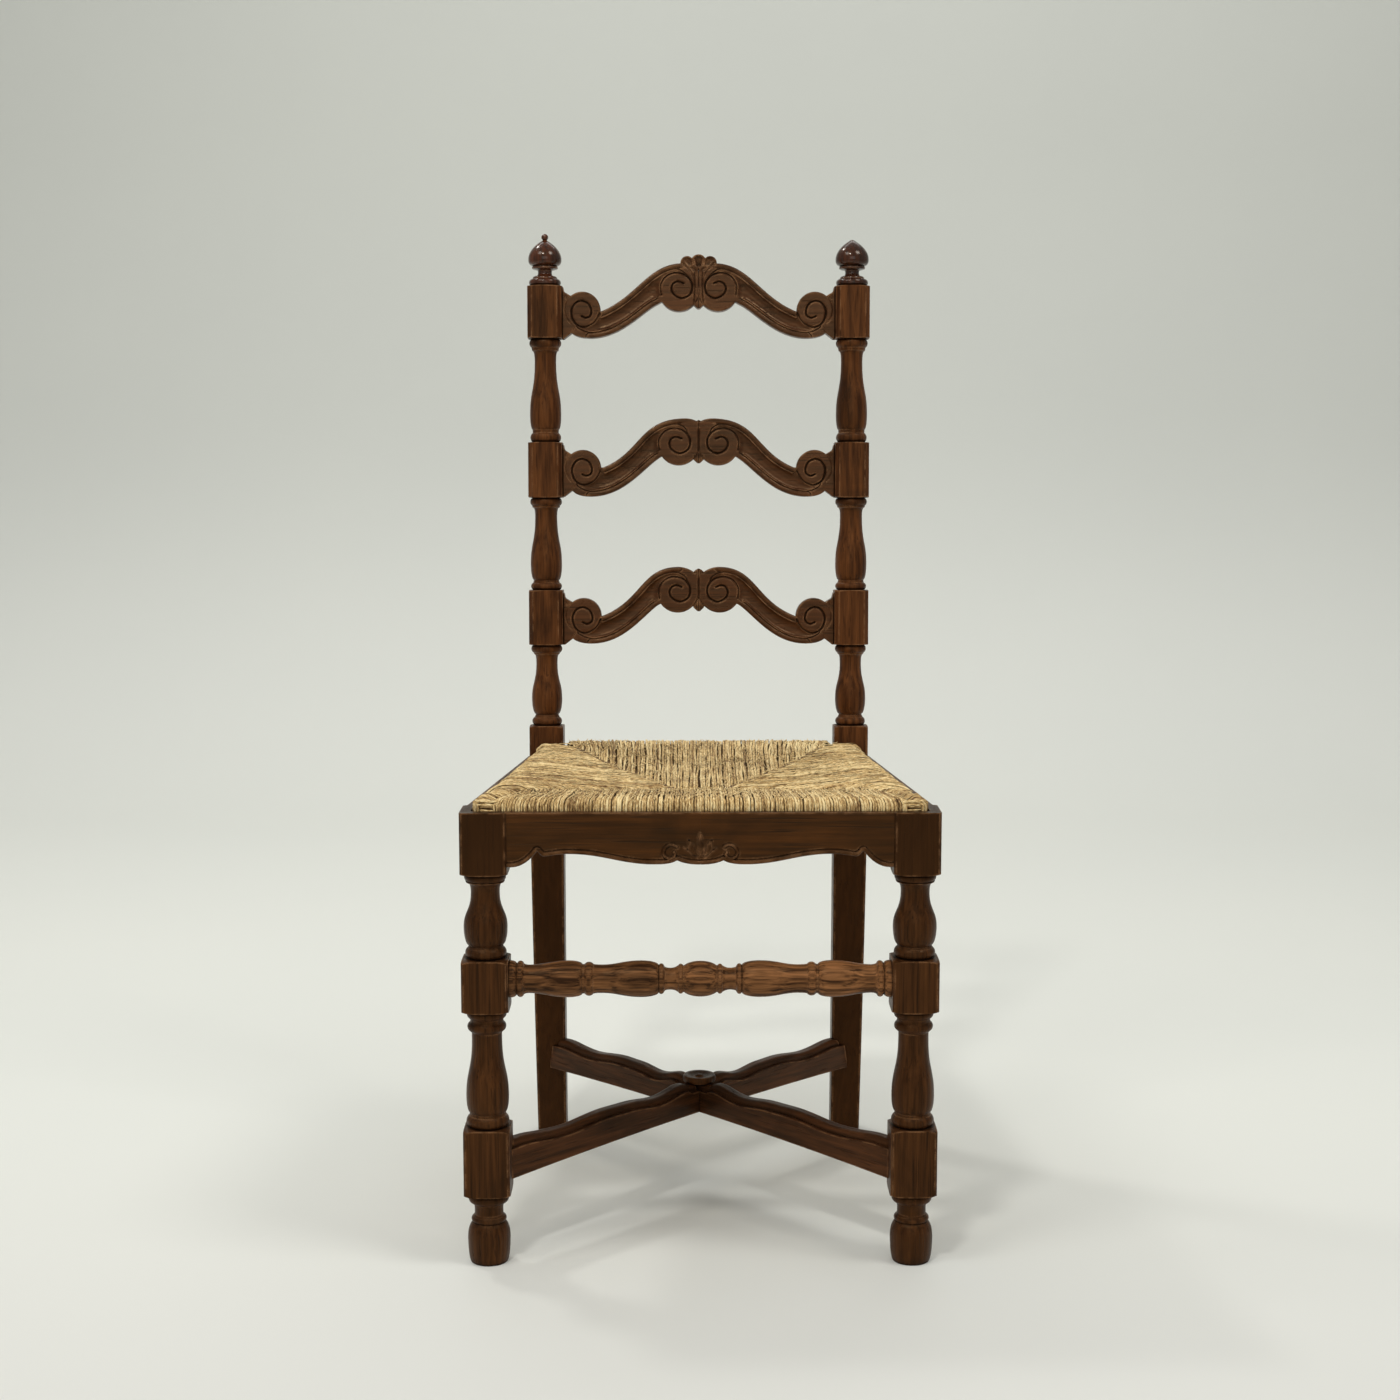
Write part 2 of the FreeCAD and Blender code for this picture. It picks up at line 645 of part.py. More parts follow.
def back_leg_section(z):
    """Half-width and front face of a back leg at height z."""
    curve = leg_line()
    lo = 0.0
    hi = 1.0
    for _ in range(40):
        mid = (lo + hi) / 2
        if curve.value(mid).z > z:
            lo = mid
        else:
            hi = mid
    half = leg_size(z) / 2
    return half, curve.value(lo).y - half


# One arm's top edge: (share of the way from the leg to the flat under the button, height above it).
WAVES = ((0.0, 1.0), (0.05, 1.2), (0.10, 0.2), (0.22, -2.4), (0.34, -1.6), (0.46, 1.2), (0.56, 1.4),
         (0.66, 0.8), (0.75, -1.6), (0.86, -1.2), (1.0, 0.0))


def cross_section(x, bottom, top):
    """The bar's outline at x: upright faces, a ledge on each side and a narrower rounded ridge."""
    h = CROSS_T / 2
    r = RIDGE / 2
    f = RIDGE_ROUND
    k = f * (1 - math.sqrt(0.5))
    ledge = top - RIDGE_RISE

    def line(y0, z0, y1, z1):
        return Part.makeLine(V(x, y0, z0), V(x, y1, z1))

    return Part.Wire([
        line(-h, bottom, h, bottom),
        line(h, bottom, h, ledge),
        line(h, ledge, r, ledge),
        line(r, ledge, r, top - f),
        Part.Arc(V(x, r, top - f), V(x, r - k, top - k), V(x, r - f, top)).toShape(),
        line(r - f, top, f - r, top),
        Part.Arc(V(x, f - r, top), V(x, k - r, top - k), V(x, -r, top - f)).toShape(),
        line(-r, top - f, -r, ledge),
        line(-r, ledge, -h, ledge),
        line(-h, ledge, -h, bottom),
    ])


def cross_bottom(share):
    """The arched underside, from the front leg to the back one."""
    return CROSS_BOTTOM + CROSS_ARCH * (3.5 * share - 3.0 * share * share)


def cross_bar():
    """The bar from the left front leg to the right back leg, with both ends to be fitted."""
    a, b = cross_ends()
    length = math.hypot(b[0] - a[0], b[1] - a[1])
    middle = length * -a[0] / (b[0] - a[0])
    z1 = CROSS_BOTTOM + CROSS_RISE
    over = 13.0
    arms = []
    for start, run in ((0.0, middle - BUTTON_R - 4.0), (length, middle + BUTTON_R + 4.0 - length)):
        beyond = start - math.copysign(over, run)
        stations = [(beyond, WAVES[0][1])] + [(start + run * s, rise) for s, rise in WAVES]
        sections = [cross_section(x, cross_bottom(x / length), z1 + rise) for x, rise in stations]
        arms.append(Part.makeLoft(sections, True, False))
    flat = [cross_section(x, cross_bottom(x / length), z1)
            for x in (middle - BUTTON_R - 4.0, middle + BUTTON_R + 4.0)]
    return to_diagonal(join(arms + [Part.makeLoft(flat, True, True)]))


def to_diagonal(shape):
    a, b = cross_ends()
    out = shape.copy()
    out.rotate(V(0, 0, 0), V(0, 0, 1), math.degrees(math.atan2(b[1] - a[1], b[0] - a[0])))
    out.translate(V(a[0], a[1], 0))
    return out


def cross_centre():
    a, b = cross_ends()
    share = -a[0] / (b[0] - a[0])
    return a[1] + (b[1] - a[1]) * share


def cross_tenon(extra):
    """Tenons at both ends of the bar, as one pair of solids."""
    a, b = cross_ends()
    length = math.hypot(b[0] - a[0], b[1] - a[1])
    h = TENON_T / 2 + extra
    z0 = CROSS_BOTTOM + 6.0 - extra
    z1 = CROSS_BOTTOM + CROSS_RISE - 8.0 + extra
    reach = 19.0 + 3 * extra
    front = to_diagonal(box(-reach, 8.0, -h, h, z0, z1))
    back = to_diagonal(box(length - 8.0, length + reach - 3.0, -h, h, z0, z1))
    return front, back


def cross_button():
    z = CROSS_BOTTOM + CROSS_RISE
    t = Turning(4.0, z - 26.0)
    t.to(4.0, z)
    t.to(BUTTON_R - 1.2, z)
    t.sweep((BUTTON_R + 0.4, z + 1.0), (BUTTON_R + 0.4, z + BUTTON_T - 2.0), (BUTTON_R - 1.6, z + BUTTON_T))
    t.to(BUTTON_R - 4.2, z + BUTTON_T)
    t.sweep((BUTTON_R - 6.0, z + BUTTON_T - 0.2), (9.0, z + BUTTON_T - 2.2), (4.6, z + BUTTON_T - 2.0))
    t.sweep((3.8, z + BUTTON_T - 0.4), (2.0, z + BUTTON_T + 0.4), (0, z + BUTTON_T + 0.4))
    button = t.solid()
    button.translate(V(0, cross_centre(), 0))
    return button


def button_hole():
    z = CROSS_BOTTOM + CROSS_RISE
    return Part.makeCylinder(4.0 + FIT, 28.0, V(0, cross_centre(), z - 27.0))


# Drop-in seat.

SEAT_FRONT = APRON_FRONT + LIP + SEAT_GAP
SEAT_BACK = BACK_RAIL_BACK - LIP - SEAT_GAP
NOTCH_Y = POST_FRONT - SEAT_GAP
NOTCH_X = BACK_HALF - POST_SQ / 2 - SEAT_GAP
FRAME_Z = LEDGE_Z + WRAP


def seat_outline(inset, corner):
    """The seat's plan, notched round the posts, moved in by inset and cut at the front corners."""
    side = LIP + SEAT_GAP + inset
    yf = SEAT_FRONT + inset
    yn = NOTCH_Y - inset
    yb = SEAT_BACK - inset
    xn = NOTCH_X - inset
    left = [(side_x(yf, side) + corner, yf)]
    if corner:
        left.append((side_x(yf + corner, side), yf + corner))
    left += [(side_x(yn, side), yn), (-xn, yn), (-xn, yb)]
    return left + [(-x, y) for x, y in reversed(left)]


def slab(points, z0, z1):
    return prism([V(x, y, z0) for x, y in points], V(0, 0, z1 - z0))


def frame_front():
    y0 = SEAT_FRONT + WRAP
    y1 = y0 + FRAME_W
    side = LIP + SEAT_GAP + WRAP
    points = [(side_x(y0, side), y0), (side_x(y1, side), y1),
              (-side_x(y1, side), y1), (-side_x(y0, side), y0)]
    piece = slab(points, FRAME_Z, FRAME_Z + FRAME_T)
    cuts = frame_tenon(y1 - 15.0 - 3 * FIT, y1 + 1.0, FIT)
    return piece.cut(cuts).cut(mirrored(cuts))


def frame_back():
    """The back member, cut away at its ends to pass the posts."""
    side = LIP + SEAT_GAP + WRAP
    y0 = NOTCH_Y - WRAP - 24.0
    y1 = NOTCH_Y - WRAP
    y2 = SEAT_BACK - WRAP
    xn = NOTCH_X - WRAP
    left = [(side_x(y0, side), y0), (side_x(y1, side), y1), (-xn, y1), (-xn, y2)]
    piece = slab(left + [(-x, y) for x, y in reversed(left)], FRAME_Z, FRAME_Z + FRAME_T)
    cuts = frame_tenon(y0 - 1.0, y0 + 15.0 + 3 * FIT, FIT)
    return piece.cut(cuts).cut(mirrored(cuts))


def frame_side():
    side = LIP + SEAT_GAP + WRAP
    y0 = SEAT_FRONT + WRAP + FRAME_W
    y1 = NOTCH_Y - WRAP - 24.0
    points = [(side_x(y0, side), y0), (side_x(y0, side + FRAME_W), y0), (side_x(y1, side + FRAME_W), y1),
              (side_x(y1, side), y1)]
    piece = slab(points, FRAME_Z, FRAME_Z + FRAME_T)
    return join([piece, frame_tenon(y0 - 15.0, y0 + 1.0, 0.0), frame_tenon(y1 - 1.0, y1 + 15.0, 0.0)])


def frame_tenon(y0, y1, extra):
    side = LIP + SEAT_GAP + WRAP
    a = side + 8.0 - extra
    b = side + FRAME_W - 8.0 + extra
    points = [(side_x(y0, a), y0), (side_x(y0, b), y0), (side_x(y1, b), y1), (side_x(y1, a), y1)]
    return slab(points, FRAME_Z + 6.0 - extra, FRAME_Z + FRAME_T - 6.0 + extra)


def frame_space():
    """The room that the jointed seat frame fills inside the rush."""
    side = LIP + SEAT_GAP + WRAP + FRAME_W
    y0 = SEAT_FRONT + WRAP + FRAME_W
    y1 = NOTCH_Y - WRAP - 24.0
    outer = slab(seat_outline(WRAP, 0), FRAME_Z, FRAME_Z + FRAME_T)
    points = [(side_x(y0, side), y0), (side_x(y1, side), y1),
              (-side_x(y1, side), y1), (-side_x(y0, side), y0)]
    inner = slab(points, FRAME_Z - 1, FRAME_Z + FRAME_T + 1)
    return outer.cut(inner)


def dish():
    """Centre and radius of the ball that hollows the seat's top."""
    half = (SEAT_BACK - SEAT_FRONT) / 2 - 34.0
    radius = (half * half + DISH * DISH) / (2 * DISH)
    return V(0, (SEAT_BACK + SEAT_FRONT) / 2, SEAT_H + CROWN - DISH + radius), radius


def valley(a, b):
    """A V-shaped groove along the top of the rush, where two of its sections meet."""
    centre, radius = dish()
    along = V(b[0] - a[0], b[1] - a[1], 0)
    across = V(-along.y, along.x, 0)
    across.normalize()
    sections = []
    for k in range(5):
        at = V(a[0], a[1], 0) + along * (k / 4)
        out = math.hypot(at.x - centre.x, at.y - centre.y)
        at.z = min(SEAT_H + CROWN, centre.z - math.sqrt(radius ** 2 - out ** 2))
        lip = across * (2 * SEAM) + V(0, 0, SEAM)
        other = across * (-2 * SEAM) + V(0, 0, SEAM)
        bottom = at - V(0, 0, SEAM)
        sections.append(Part.makePolygon([bottom, at + lip, at + other, bottom]))
    return Part.makeLoft(sections, True, True)


def rush():
    """The woven rush as one smooth form round the frame: rolled edges, four sections, a sunken middle."""
    z1 = SEAT_H + CROWN
    body = slab(seat_outline(0, 7.0), LEDGE_Z, z1)
    top = [e for e in body.Edges if abs(e.BoundBox.ZMin - z1) < 0.01 and abs(e.BoundBox.ZMax - z1) < 0.01]
    body = body.makeFillet(7.0, top)
    centre, radius = dish()
    body = body.cut(Part.makeSphere(radius, centre))
    y = SEAT_FRONT + FRONT_BAND
    edge = side_x(y, 0)
    back = valley((-APEX, y), (-NOTCH_X, NOTCH_Y + 2.0))
    for groove in (valley((edge, y), (-edge, y)), back, mirrored(back)):
        body = body.cut(groove)
    return body.cut(frame_space()).removeSplitter()


def place(shape):
    out = shape.copy()
    out.translate(V(0, -Y_MID, 0))
    return out


def moved(shape, x, y=0.0):
    out = shape.copy()
    out.translate(V(x, y, 0))
    return out


def build():
    nodes = {}
    slats = [("crest_slat", BLOCK_TOP + CREST_ABOVE, CREST_DROP, True),
             ("middle_slat", BLOCK_MID + MID_ABOVE, MID_DROP, False),
             ("lower_slat", BLOCK_LOW + LOW_ABOVE, LOW_DROP, False)]

    bar = cross_bar()
    bar_tenons = cross_tenon(0.0)
    bar_mortises = cross_tenon(FIT)

    leg = moved(front_leg(), -FRONT_HALF)
    corner = LEG_SQ / 2 - LIP - RAIL_SET
    pocket = box(-FRONT_HALF - corner, -FRONT_HALF + LEG_SQ, -corner, LEG_SQ, LEDGE_Z, SEAT_H + 1)
    leg = leg.cut(pocket)
    leg = leg.cut(apron_tenon(FIT))
    leg = leg.cut(side_tenon(LEG_SQ / 2 - TENON_L + 2, LEG_SQ / 2 + 1, FIT))
    socket = Part.makeCylinder(STRETCHER_R + FIT, TENON_L + 1.0,
                               V(-FRONT_HALF + LEG_SQ / 2 + 1, 0, STRETCHER_H), V(-1, 0, 0))
    leg = leg.cut(socket)
    leg_whole = leg.cut(bar_mortises[0])

    post = moved(back_post(), -BACK_HALF)
    for _, crown, drop, crest in slats:
        mortise = slat_tenon(drop, crest, FIT)
        mortise.translate(V(0, 0, crown))
        post = post.cut(lean(mortise))
    post = post.cut(side_tenon(POST_FRONT - 1, POST_FRONT + TENON_L - 2, FIT))
    post = post.cut(back_rail_tenon(FIT))
    post_whole = post.cut(mirrored(bar_mortises[1]))

    nodes["front_leg_left"] = leg_whole
    nodes["front_leg_right"] = mirrored(leg_whole)
    nodes["back_post_left"] = post_whole
    nodes["back_post_right"] = mirrored(post_whole)
    nodes["finial_left"] = moved(finial(True), -BACK_HALF)
    nodes["finial_right"] = moved(finial(False), BACK_HALF)
    for name, crown, drop, crest in slats:
        nodes[name] = lean(slat(crown, drop, crest))

    rail = side_rail()
    nodes["front_apron"] = apron()
    nodes["side_rail_left"] = rail
    nodes["side_rail_right"] = mirrored(rail)
    nodes["back_rail"] = back_rail()
    nodes["front_stretcher"] = front_stretcher()

    fitted = bar.cut(nodes["front_leg_left"]).cut(moved(nodes["back_post_right"], -0.05, -0.05))
    fitted = max(fitted.Solids, key=lambda s: s.Volume)
    fitted = join([fitted, bar_tenons[0], bar_tenons[1]])
    mid = CROSS_BOTTOM + (CROSS_ARCH + CROSS_RISE) / 2
    wide = CROSS_T / 2 + FIT
    y = cross_centre()
    a, b = cross_ends()
    angle = math.degrees(math.atan2(b[1] - a[1], b[0] - a[0]))
    upper_gap = box(-40, 40, -wide, wide, mid, SEAT_H)
    lower_gap = box(-40, 40, -wide, wide, 0, mid)
    for gap, turn in ((upper_gap, -angle), (lower_gap, angle)):
        gap.rotate(V(0, 0, 0), V(0, 0, 1), turn)
        gap.translate(V(0, y, 0))
    nodes["cross_stretcher_left"] = fitted.cut(upper_gap).cut(button_hole())
    nodes["cross_stretcher_right"] = mirrored(fitted).cut(lower_gap).cut(button_hole())
    nodes["cross_button"] = cross_button()

    side = frame_side()
    nodes["seat_frame_front"] = frame_front()
    nodes["seat_frame_back"] = frame_back()
    nodes["seat_frame_left"] = side
    nodes["seat_frame_right"] = mirrored(side)
    nodes["rush_seat"] = rush()
    return nodes


def main():
    os.makedirs("parts", exist_ok=True)
    for name, shape in build().items():
        placed = place(shape)
        placed.exportStep("parts/" + name + ".step")
        box_ = placed.BoundBox
        print("%-24s solids %d valid %s volume %10.0f  x %.1f..%.1f y %.1f..%.1f z %.1f..%.1f" % (
            name, len(placed.Solids), placed.isValid(), placed.Volume,
            box_.XMin, box_.XMax, box_.YMin, box_.YMax, box_.ZMin, box_.ZMax))


main()
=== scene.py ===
"""Looks of the ladderback chair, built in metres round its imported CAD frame."""
import math

import bmesh
import bpy
import numpy as np
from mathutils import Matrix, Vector


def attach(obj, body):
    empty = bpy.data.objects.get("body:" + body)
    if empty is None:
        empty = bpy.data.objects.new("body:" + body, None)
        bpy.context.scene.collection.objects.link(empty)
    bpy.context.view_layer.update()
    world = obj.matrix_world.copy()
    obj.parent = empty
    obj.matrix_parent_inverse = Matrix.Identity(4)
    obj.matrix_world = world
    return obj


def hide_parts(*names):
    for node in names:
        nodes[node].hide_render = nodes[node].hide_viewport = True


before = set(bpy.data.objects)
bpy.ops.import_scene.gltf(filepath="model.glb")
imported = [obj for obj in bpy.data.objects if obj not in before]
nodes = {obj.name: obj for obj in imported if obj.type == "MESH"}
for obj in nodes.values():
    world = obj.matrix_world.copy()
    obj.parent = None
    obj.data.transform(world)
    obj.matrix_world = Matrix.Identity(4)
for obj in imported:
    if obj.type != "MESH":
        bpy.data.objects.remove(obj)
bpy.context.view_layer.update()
scene = bpy.context.scene

LEG_AXIS_Y = -0.202375          # the front legs' axis
SEAT_H = 0.450                  # top of the seat rails
SEAT_Z = 1000 * SEAT_H          # the same in millimetres


# Node helpers.

class Shader:
    """A material with its node tree, and short calls that add nodes and wire them."""

    def __init__(self, name):
        self.mat = bpy.data.materials.new(name)
        self.mat.use_nodes = True
        self.tree = self.mat.node_tree
        self.bsdf = self.tree.nodes["Principled BSDF"]

    def add(self, kind, inputs=None, **settings):
        node = self.tree.nodes.new("ShaderNode" + kind)
        for key, value in settings.items():
            setattr(node, key, value)
        for key, value in (inputs or {}).items():
            self.put(value, node.inputs[key])
        return node

    def put(self, value, socket):
        if isinstance(value, bpy.types.NodeSocket):
            self.tree.links.new(value, socket)
        else:
            socket.default_value = value

    def math(self, operation, a, b=0.0, clamp=False):
        return self.add("Math", {0: a, 1: b}, operation=operation, use_clamp=clamp).outputs[0]

    def mix(self, factor, a, b, blend="MIX"):
        node = self.add("Mix", data_type="RGBA", blend_type=blend)
        self.put(factor, node.inputs[0])
        self.put(a, node.inputs[6])
        self.put(b, node.inputs[7])
        return node.outputs[2]

    def ramp(self, value, low, high):
        """0 below low, 1 above high, smooth between."""
        node = self.add("MapRange", {0: value, 1: low, 2: high}, interpolation_type="SMOOTHSTEP")
        return node.outputs[0]

    def noise(self, vector, scale, detail=2.0, rough=0.5, distortion=0.0):
        node = self.add("TexNoise", {"Vector": vector, "Scale": scale, "Detail": detail,
                                     "Roughness": rough, "Distortion": distortion})
        return node.outputs[0]


def rgb(red, green, blue):
    """A colour as it shows on screen, from 0 to 255, in the linear values that Blender uses."""
    out = []
    for v in (red, green, blue):
        v /= 255.0
        out.append(v / 12.92 if v <= 0.04045 else ((v + 0.055) / 1.055) ** 2.4)
    return (*out, 1.0)


def wood(name, light, mid, dark, turn=(0.0, 0.0, 0.0), offset=0.0, rings=0.6, pores=0.7, blotch=0.5,
         wear=0.8, wear_colour=rgb(150, 108, 74), rough=0.36, coat=0.0, shine=0.16, band=None, figure=2.2):
    """Stained oak: rings, fibres, open pores, smoky blotches, worn arrises, and crevices darkened by grime
    and painted shade.

    turn lays the grain, which runs along Z, on the piece's length.
    """
    s = Shader(name)
    place = s.add("TexCoord").outputs["Object"]
    along = s.add("Mapping", {"Vector": place, "Rotation": turn,
                              "Location": (offset, offset * 0.7, offset * 0.3)}).outputs[0]

    def stretched(amount):
        return s.add("VectorMath", {0: along, 1: (1.0, 1.0, amount)}, operation="MULTIPLY").outputs[0]

    broad = s.noise(stretched(0.25), 26.0, 3.0, 0.55, 0.6)
    bands = s.add("TexWave", {"Vector": stretched(0.05), "Scale": 42.0, "Distortion": 7.0, "Detail": 3.0,
                              "Detail Scale": 2.2, "Detail Roughness": 0.6},
                  wave_type="RINGS", rings_direction="Z")
    fibre = s.noise(stretched(0.02), 900.0, 2.0, 0.6)
    grain = s.noise(stretched(0.035), 260.0, 4.0, 0.62, 0.4)
    pits = s.ramp(s.noise(stretched(0.022), 620.0, 1.0, 0.5, 0.3), 0.60, 0.70)
    smoke = s.ramp(s.noise(stretched(0.6), 11.0, 4.0, 0.6, 0.8), 0.44, 0.68)

    tone = s.math("MULTIPLY", s.math("SUBTRACT", bands.outputs["Fac"], 0.5), rings * 0.7)
    tone = s.math("ADD", tone, s.math("MULTIPLY", s.math("SUBTRACT", grain, 0.5), figure))
    tone = s.math("ADD", tone, s.math("MULTIPLY", s.math("SUBTRACT", broad, 0.5), 1.1))
    tone = s.math("ADD", tone, 0.45, clamp=True)
    colour = s.mix(tone, mid, light)
    colour = s.mix(s.math("MULTIPLY", smoke, blotch), colour, dark)
    colour = s.mix(s.math("MULTIPLY", pits, pores), colour, dark)
    # band darkens the colour on one side of a height, from start to end, towards band_colour: below the seat
    # on the back posts, at the top beside the apron on the front legs.
    if band:
        start, end, amount, band_colour = band
        height = s.add("SeparateXYZ", {0: place}).outputs[2]
        colour = s.mix(s.math("MULTIPLY", s.ramp(height, start, end), amount), colour, band_colour)

    normal = s.add("Bevel", {"Radius": 0.0012}, samples=4).outputs[0]
    edge = s.add("Bevel", {"Radius": 0.0026}, samples=4).outputs[0]
    flat = s.add("NewGeometry").outputs["Normal"]
    cosine = s.add("VectorMath", {0: edge, 1: flat}, operation="DOT_PRODUCT").outputs["Value"]
    hollow = s.add("AmbientOcclusion", {"Distance": 0.016}, samples=6).outputs["AO"]
    crease = s.add("AmbientOcclusion", {"Distance": 0.0035}, samples=5).outputs["AO"]
    rubbed = s.math("MULTIPLY", s.ramp(cosine, 0.99, 0.92), s.ramp(crease, 0.6, 0.9))
    patchy = s.ramp(s.noise(place, 75.0, 3.0, 0.6), 0.36, 0.62)
    rubbed = s.math("MULTIPLY", s.math("MULTIPLY", rubbed, patchy), wear, clamp=True)
    colour = s.mix(rubbed, colour, wear_colour)
    # Grime and painted shade: the colour goes near black in hollows and creases that ambient occlusion finds,
    # and the wood there is rougher.
    grime_and_shade = s.math("MULTIPLY", s.ramp(hollow, 0.62, 0.12), 0.7)
    grime_and_shade = s.math("MAXIMUM", grime_and_shade, s.math("MULTIPLY", s.ramp(crease, 0.82, 0.4), 0.85))
    colour = s.mix(grime_and_shade, colour, rgb(16, 9, 5))
    s.put(colour, s.bsdf.inputs["Base Color"])

    gloss = s.math("MULTIPLY", s.math("SUBTRACT", s.noise(place, 48.0, 4.0, 0.6), 0.5), 0.30)
    gloss = s.math("ADD", s.math("ADD", gloss, rough), s.math("MULTIPLY", pits, 0.25))
    gloss = s.math("ADD", gloss, s.math("MULTIPLY", grime_and_shade, 0.3), clamp=True)
    s.put(gloss, s.bsdf.inputs["Roughness"])
    relief = s.math("SUBTRACT", s.math("MULTIPLY", grain, 0.5), s.math("MULTIPLY", pits, 0.8))
    relief = s.math("ADD", relief, s.math("MULTIPLY", fibre, 0.2))
    relief = s.math("ADD", relief, s.math("MULTIPLY", broad, 0.8))
    bump = s.add("Bump", {"Height": relief, "Normal": normal, "Strength": 0.55, "Distance": 0.0005})
    s.put(bump.outputs[0], s.bsdf.inputs["Normal"])
    s.bsdf.inputs["Coat Weight"].default_value = coat
    s.bsdf.inputs["Coat Roughness"].default_value = 0.12
    s.bsdf.inputs["Specular IOR Level"].default_value = shine
    s.bsdf.inputs["Specular Tint"].default_value = rgb(255, 208, 156)
    return s.mat


def dress(obj, material):
    """Gives an object one material in all its slots."""
    obj.data.materials.clear()
    obj.data.materials.append(material)


ALONG_X = (0.0, math.radians(90), 0.0)
ALONG_Y = (math.radians(90), 0.0, 0.0)
post_wood = wood("post_wood", rgb(98, 58, 30), rgb(56, 30, 15), rgb(24, 14, 9), offset=0.3, pores=0.45,
                 band=(SEAT_H + 0.01, SEAT_H - 0.02, 0.75, rgb(50, 27, 10)))
leg_wood = wood("leg_wood", rgb(80, 48, 24), rgb(46, 25, 11), rgb(22, 13, 7), offset=1.7, pores=0.45,
                rings=0.4, band=(SEAT_H - 0.075, SEAT_H - 0.055, 0.7, rgb(44, 24, 9)))
rail_wood = wood("rail_wood", rgb(78, 44, 17), rgb(46, 25, 9), rgb(24, 14, 7), turn=ALONG_X, offset=0.9,
                 rings=0.3, wear=1.0, shine=0.25)
side_wood = wood("side_wood", rgb(78, 45, 19), rgb(50, 27, 11), rgb(28, 16, 8), turn=ALONG_Y, offset=2.1)
slat_wood = wood("slat_wood", rgb(80, 45, 25), rgb(49, 26, 14), rgb(24, 13, 8), turn=ALONG_X, offset=0.4,
                 shine=0.42, rough=0.3, figure=1.1, wear=1.0)
bar_wood = wood("bar_wood", rgb(156, 106, 66), rgb(50, 29, 16), rgb(24, 14, 8), turn=ALONG_X, offset=3.3,
                pores=0.6, rings=0.15, figure=3.0)
cross_wood = {}
for side, angle in (("left", -46.2), ("right", 46.2)):
    cross_wood["cross_stretcher_" + side] = wood(
        "cross_wood_" + side, rgb(84, 50, 28), rgb(48, 28, 15), rgb(24, 14, 8), pores=0.4,
        turn=(math.radians(90), math.radians(angle), 0.0), offset=1.1)
finial_wood = wood("finial_wood", rgb(84, 42, 22), rgb(48, 23, 12), rgb(20, 10, 6), offset=2.7, rough=0.22,
                   coat=0.5)
frame_wood = wood("frame_wood", rgb(150, 120, 84), rgb(120, 92, 62), rgb(70, 50, 32), turn=ALONG_X)
for name, obj in nodes.items():
    if name.startswith("back_post"):
        dress(obj, post_wood)
    elif name.startswith("front_leg"):
        dress(obj, leg_wood)
    elif name.startswith("finial"):
        dress(obj, finial_wood)
    elif name.startswith("side_rail"):
        dress(obj, side_wood)
    elif name.startswith("cross"):
        dress(obj, cross_wood.get(name, leg_wood))
    elif name == "front_stretcher":
        dress(obj, bar_wood)
    elif name.endswith("slat"):
        dress(obj, slat_wood)
    elif name.startswith("seat_frame"):
        dress(obj, frame_wood)
    else:
        dress(obj, rail_wood)


# Flat outlines and carved reliefs, in millimetres.

def bezier(poles, count=60):
    """Points along a cubic curve."""
    a, b, c, d = (np.array(q, float) for q in poles)
    t = np.linspace(0, 1, count)[:, None]
    return a * (1 - t) ** 3 + 3 * b * t * (1 - t) ** 2 + 3 * c * t * t * (1 - t) + d * t ** 3


def through(points, step=8):
    """A smooth line through the points."""
    q = np.array(points, float)
    q = np.vstack([2 * q[0] - q[1], q, 2 * q[-1] - q[-2]])
    t = np.linspace(0, 1, step, endpoint=False)[:, None]
    out = []
    for a, b, c, d in zip(q, q[1:], q[2:], q[3:]):
        out.append(0.5 * (2 * b + (c - a) * t + (2 * a - 5 * b + 4 * c - d) * t ** 2
                          + (3 * b - a - 3 * c + d) * t ** 3))
    return np.vstack(out + [q[-2:-1]])


def arc(x, z, radius, start, end, count=30):
    """Points of a circle's arc, its angles in degrees from +X."""
    t = np.radians(np.linspace(start, end, count))
    return np.column_stack([x + radius * np.cos(t), z + radius * np.sin(t)])


def beside(line, gap):
    """The line moved sideways by gap, to the right of its direction."""
    along = np.gradient(line, axis=0)
    along /= np.linalg.norm(along, axis=1)[:, None]
    return line + gap * np.column_stack([along[:, 1], -along[:, 0]])


def distance(points, line):
    """How far each point is from a polyline."""
    a, b = line[:-1], line[1:]
    ab = b - a
    length = (ab ** 2).sum(1) + 1e-12
    out = np.empty(len(points))
    for i in range(0, len(points), 4000):
        ap = points[i:i + 4000, None] - a
        t = np.clip((ap * ab).sum(2) / length, 0, 1)
        out[i:i + 4000] = np.sqrt(((ap - t[..., None] * ab) ** 2).sum(2).min(1))
    return out


def inside(points, polygon):
    """Which points lie inside a closed polygon."""
    x, z = points[:, 0], points[:, 1]
    out = np.zeros(len(points), bool)
    for (x0, z0), (x1, z1) in zip(polygon, np.roll(polygon, -1, axis=0)):
        if z0 != z1:
            out ^= ((z0 > z) != (z1 > z)) & (x < (x1 - x0) * (z - z0) / (z1 - z0) + x0)
    return out


def signed(points, polygon):
    """Distance to a closed polygon, negative inside it."""
    d = distance(points, np.vstack([polygon, polygon[:1]]))
    return np.where(inside(points, polygon), -d, d)


def smooth(x, low, high):
    """A soft step from 0 at low to 1 at high."""
    t = np.clip((x - low) / (high - low), 0, 1)
    return t * t * (3 - 2 * t)


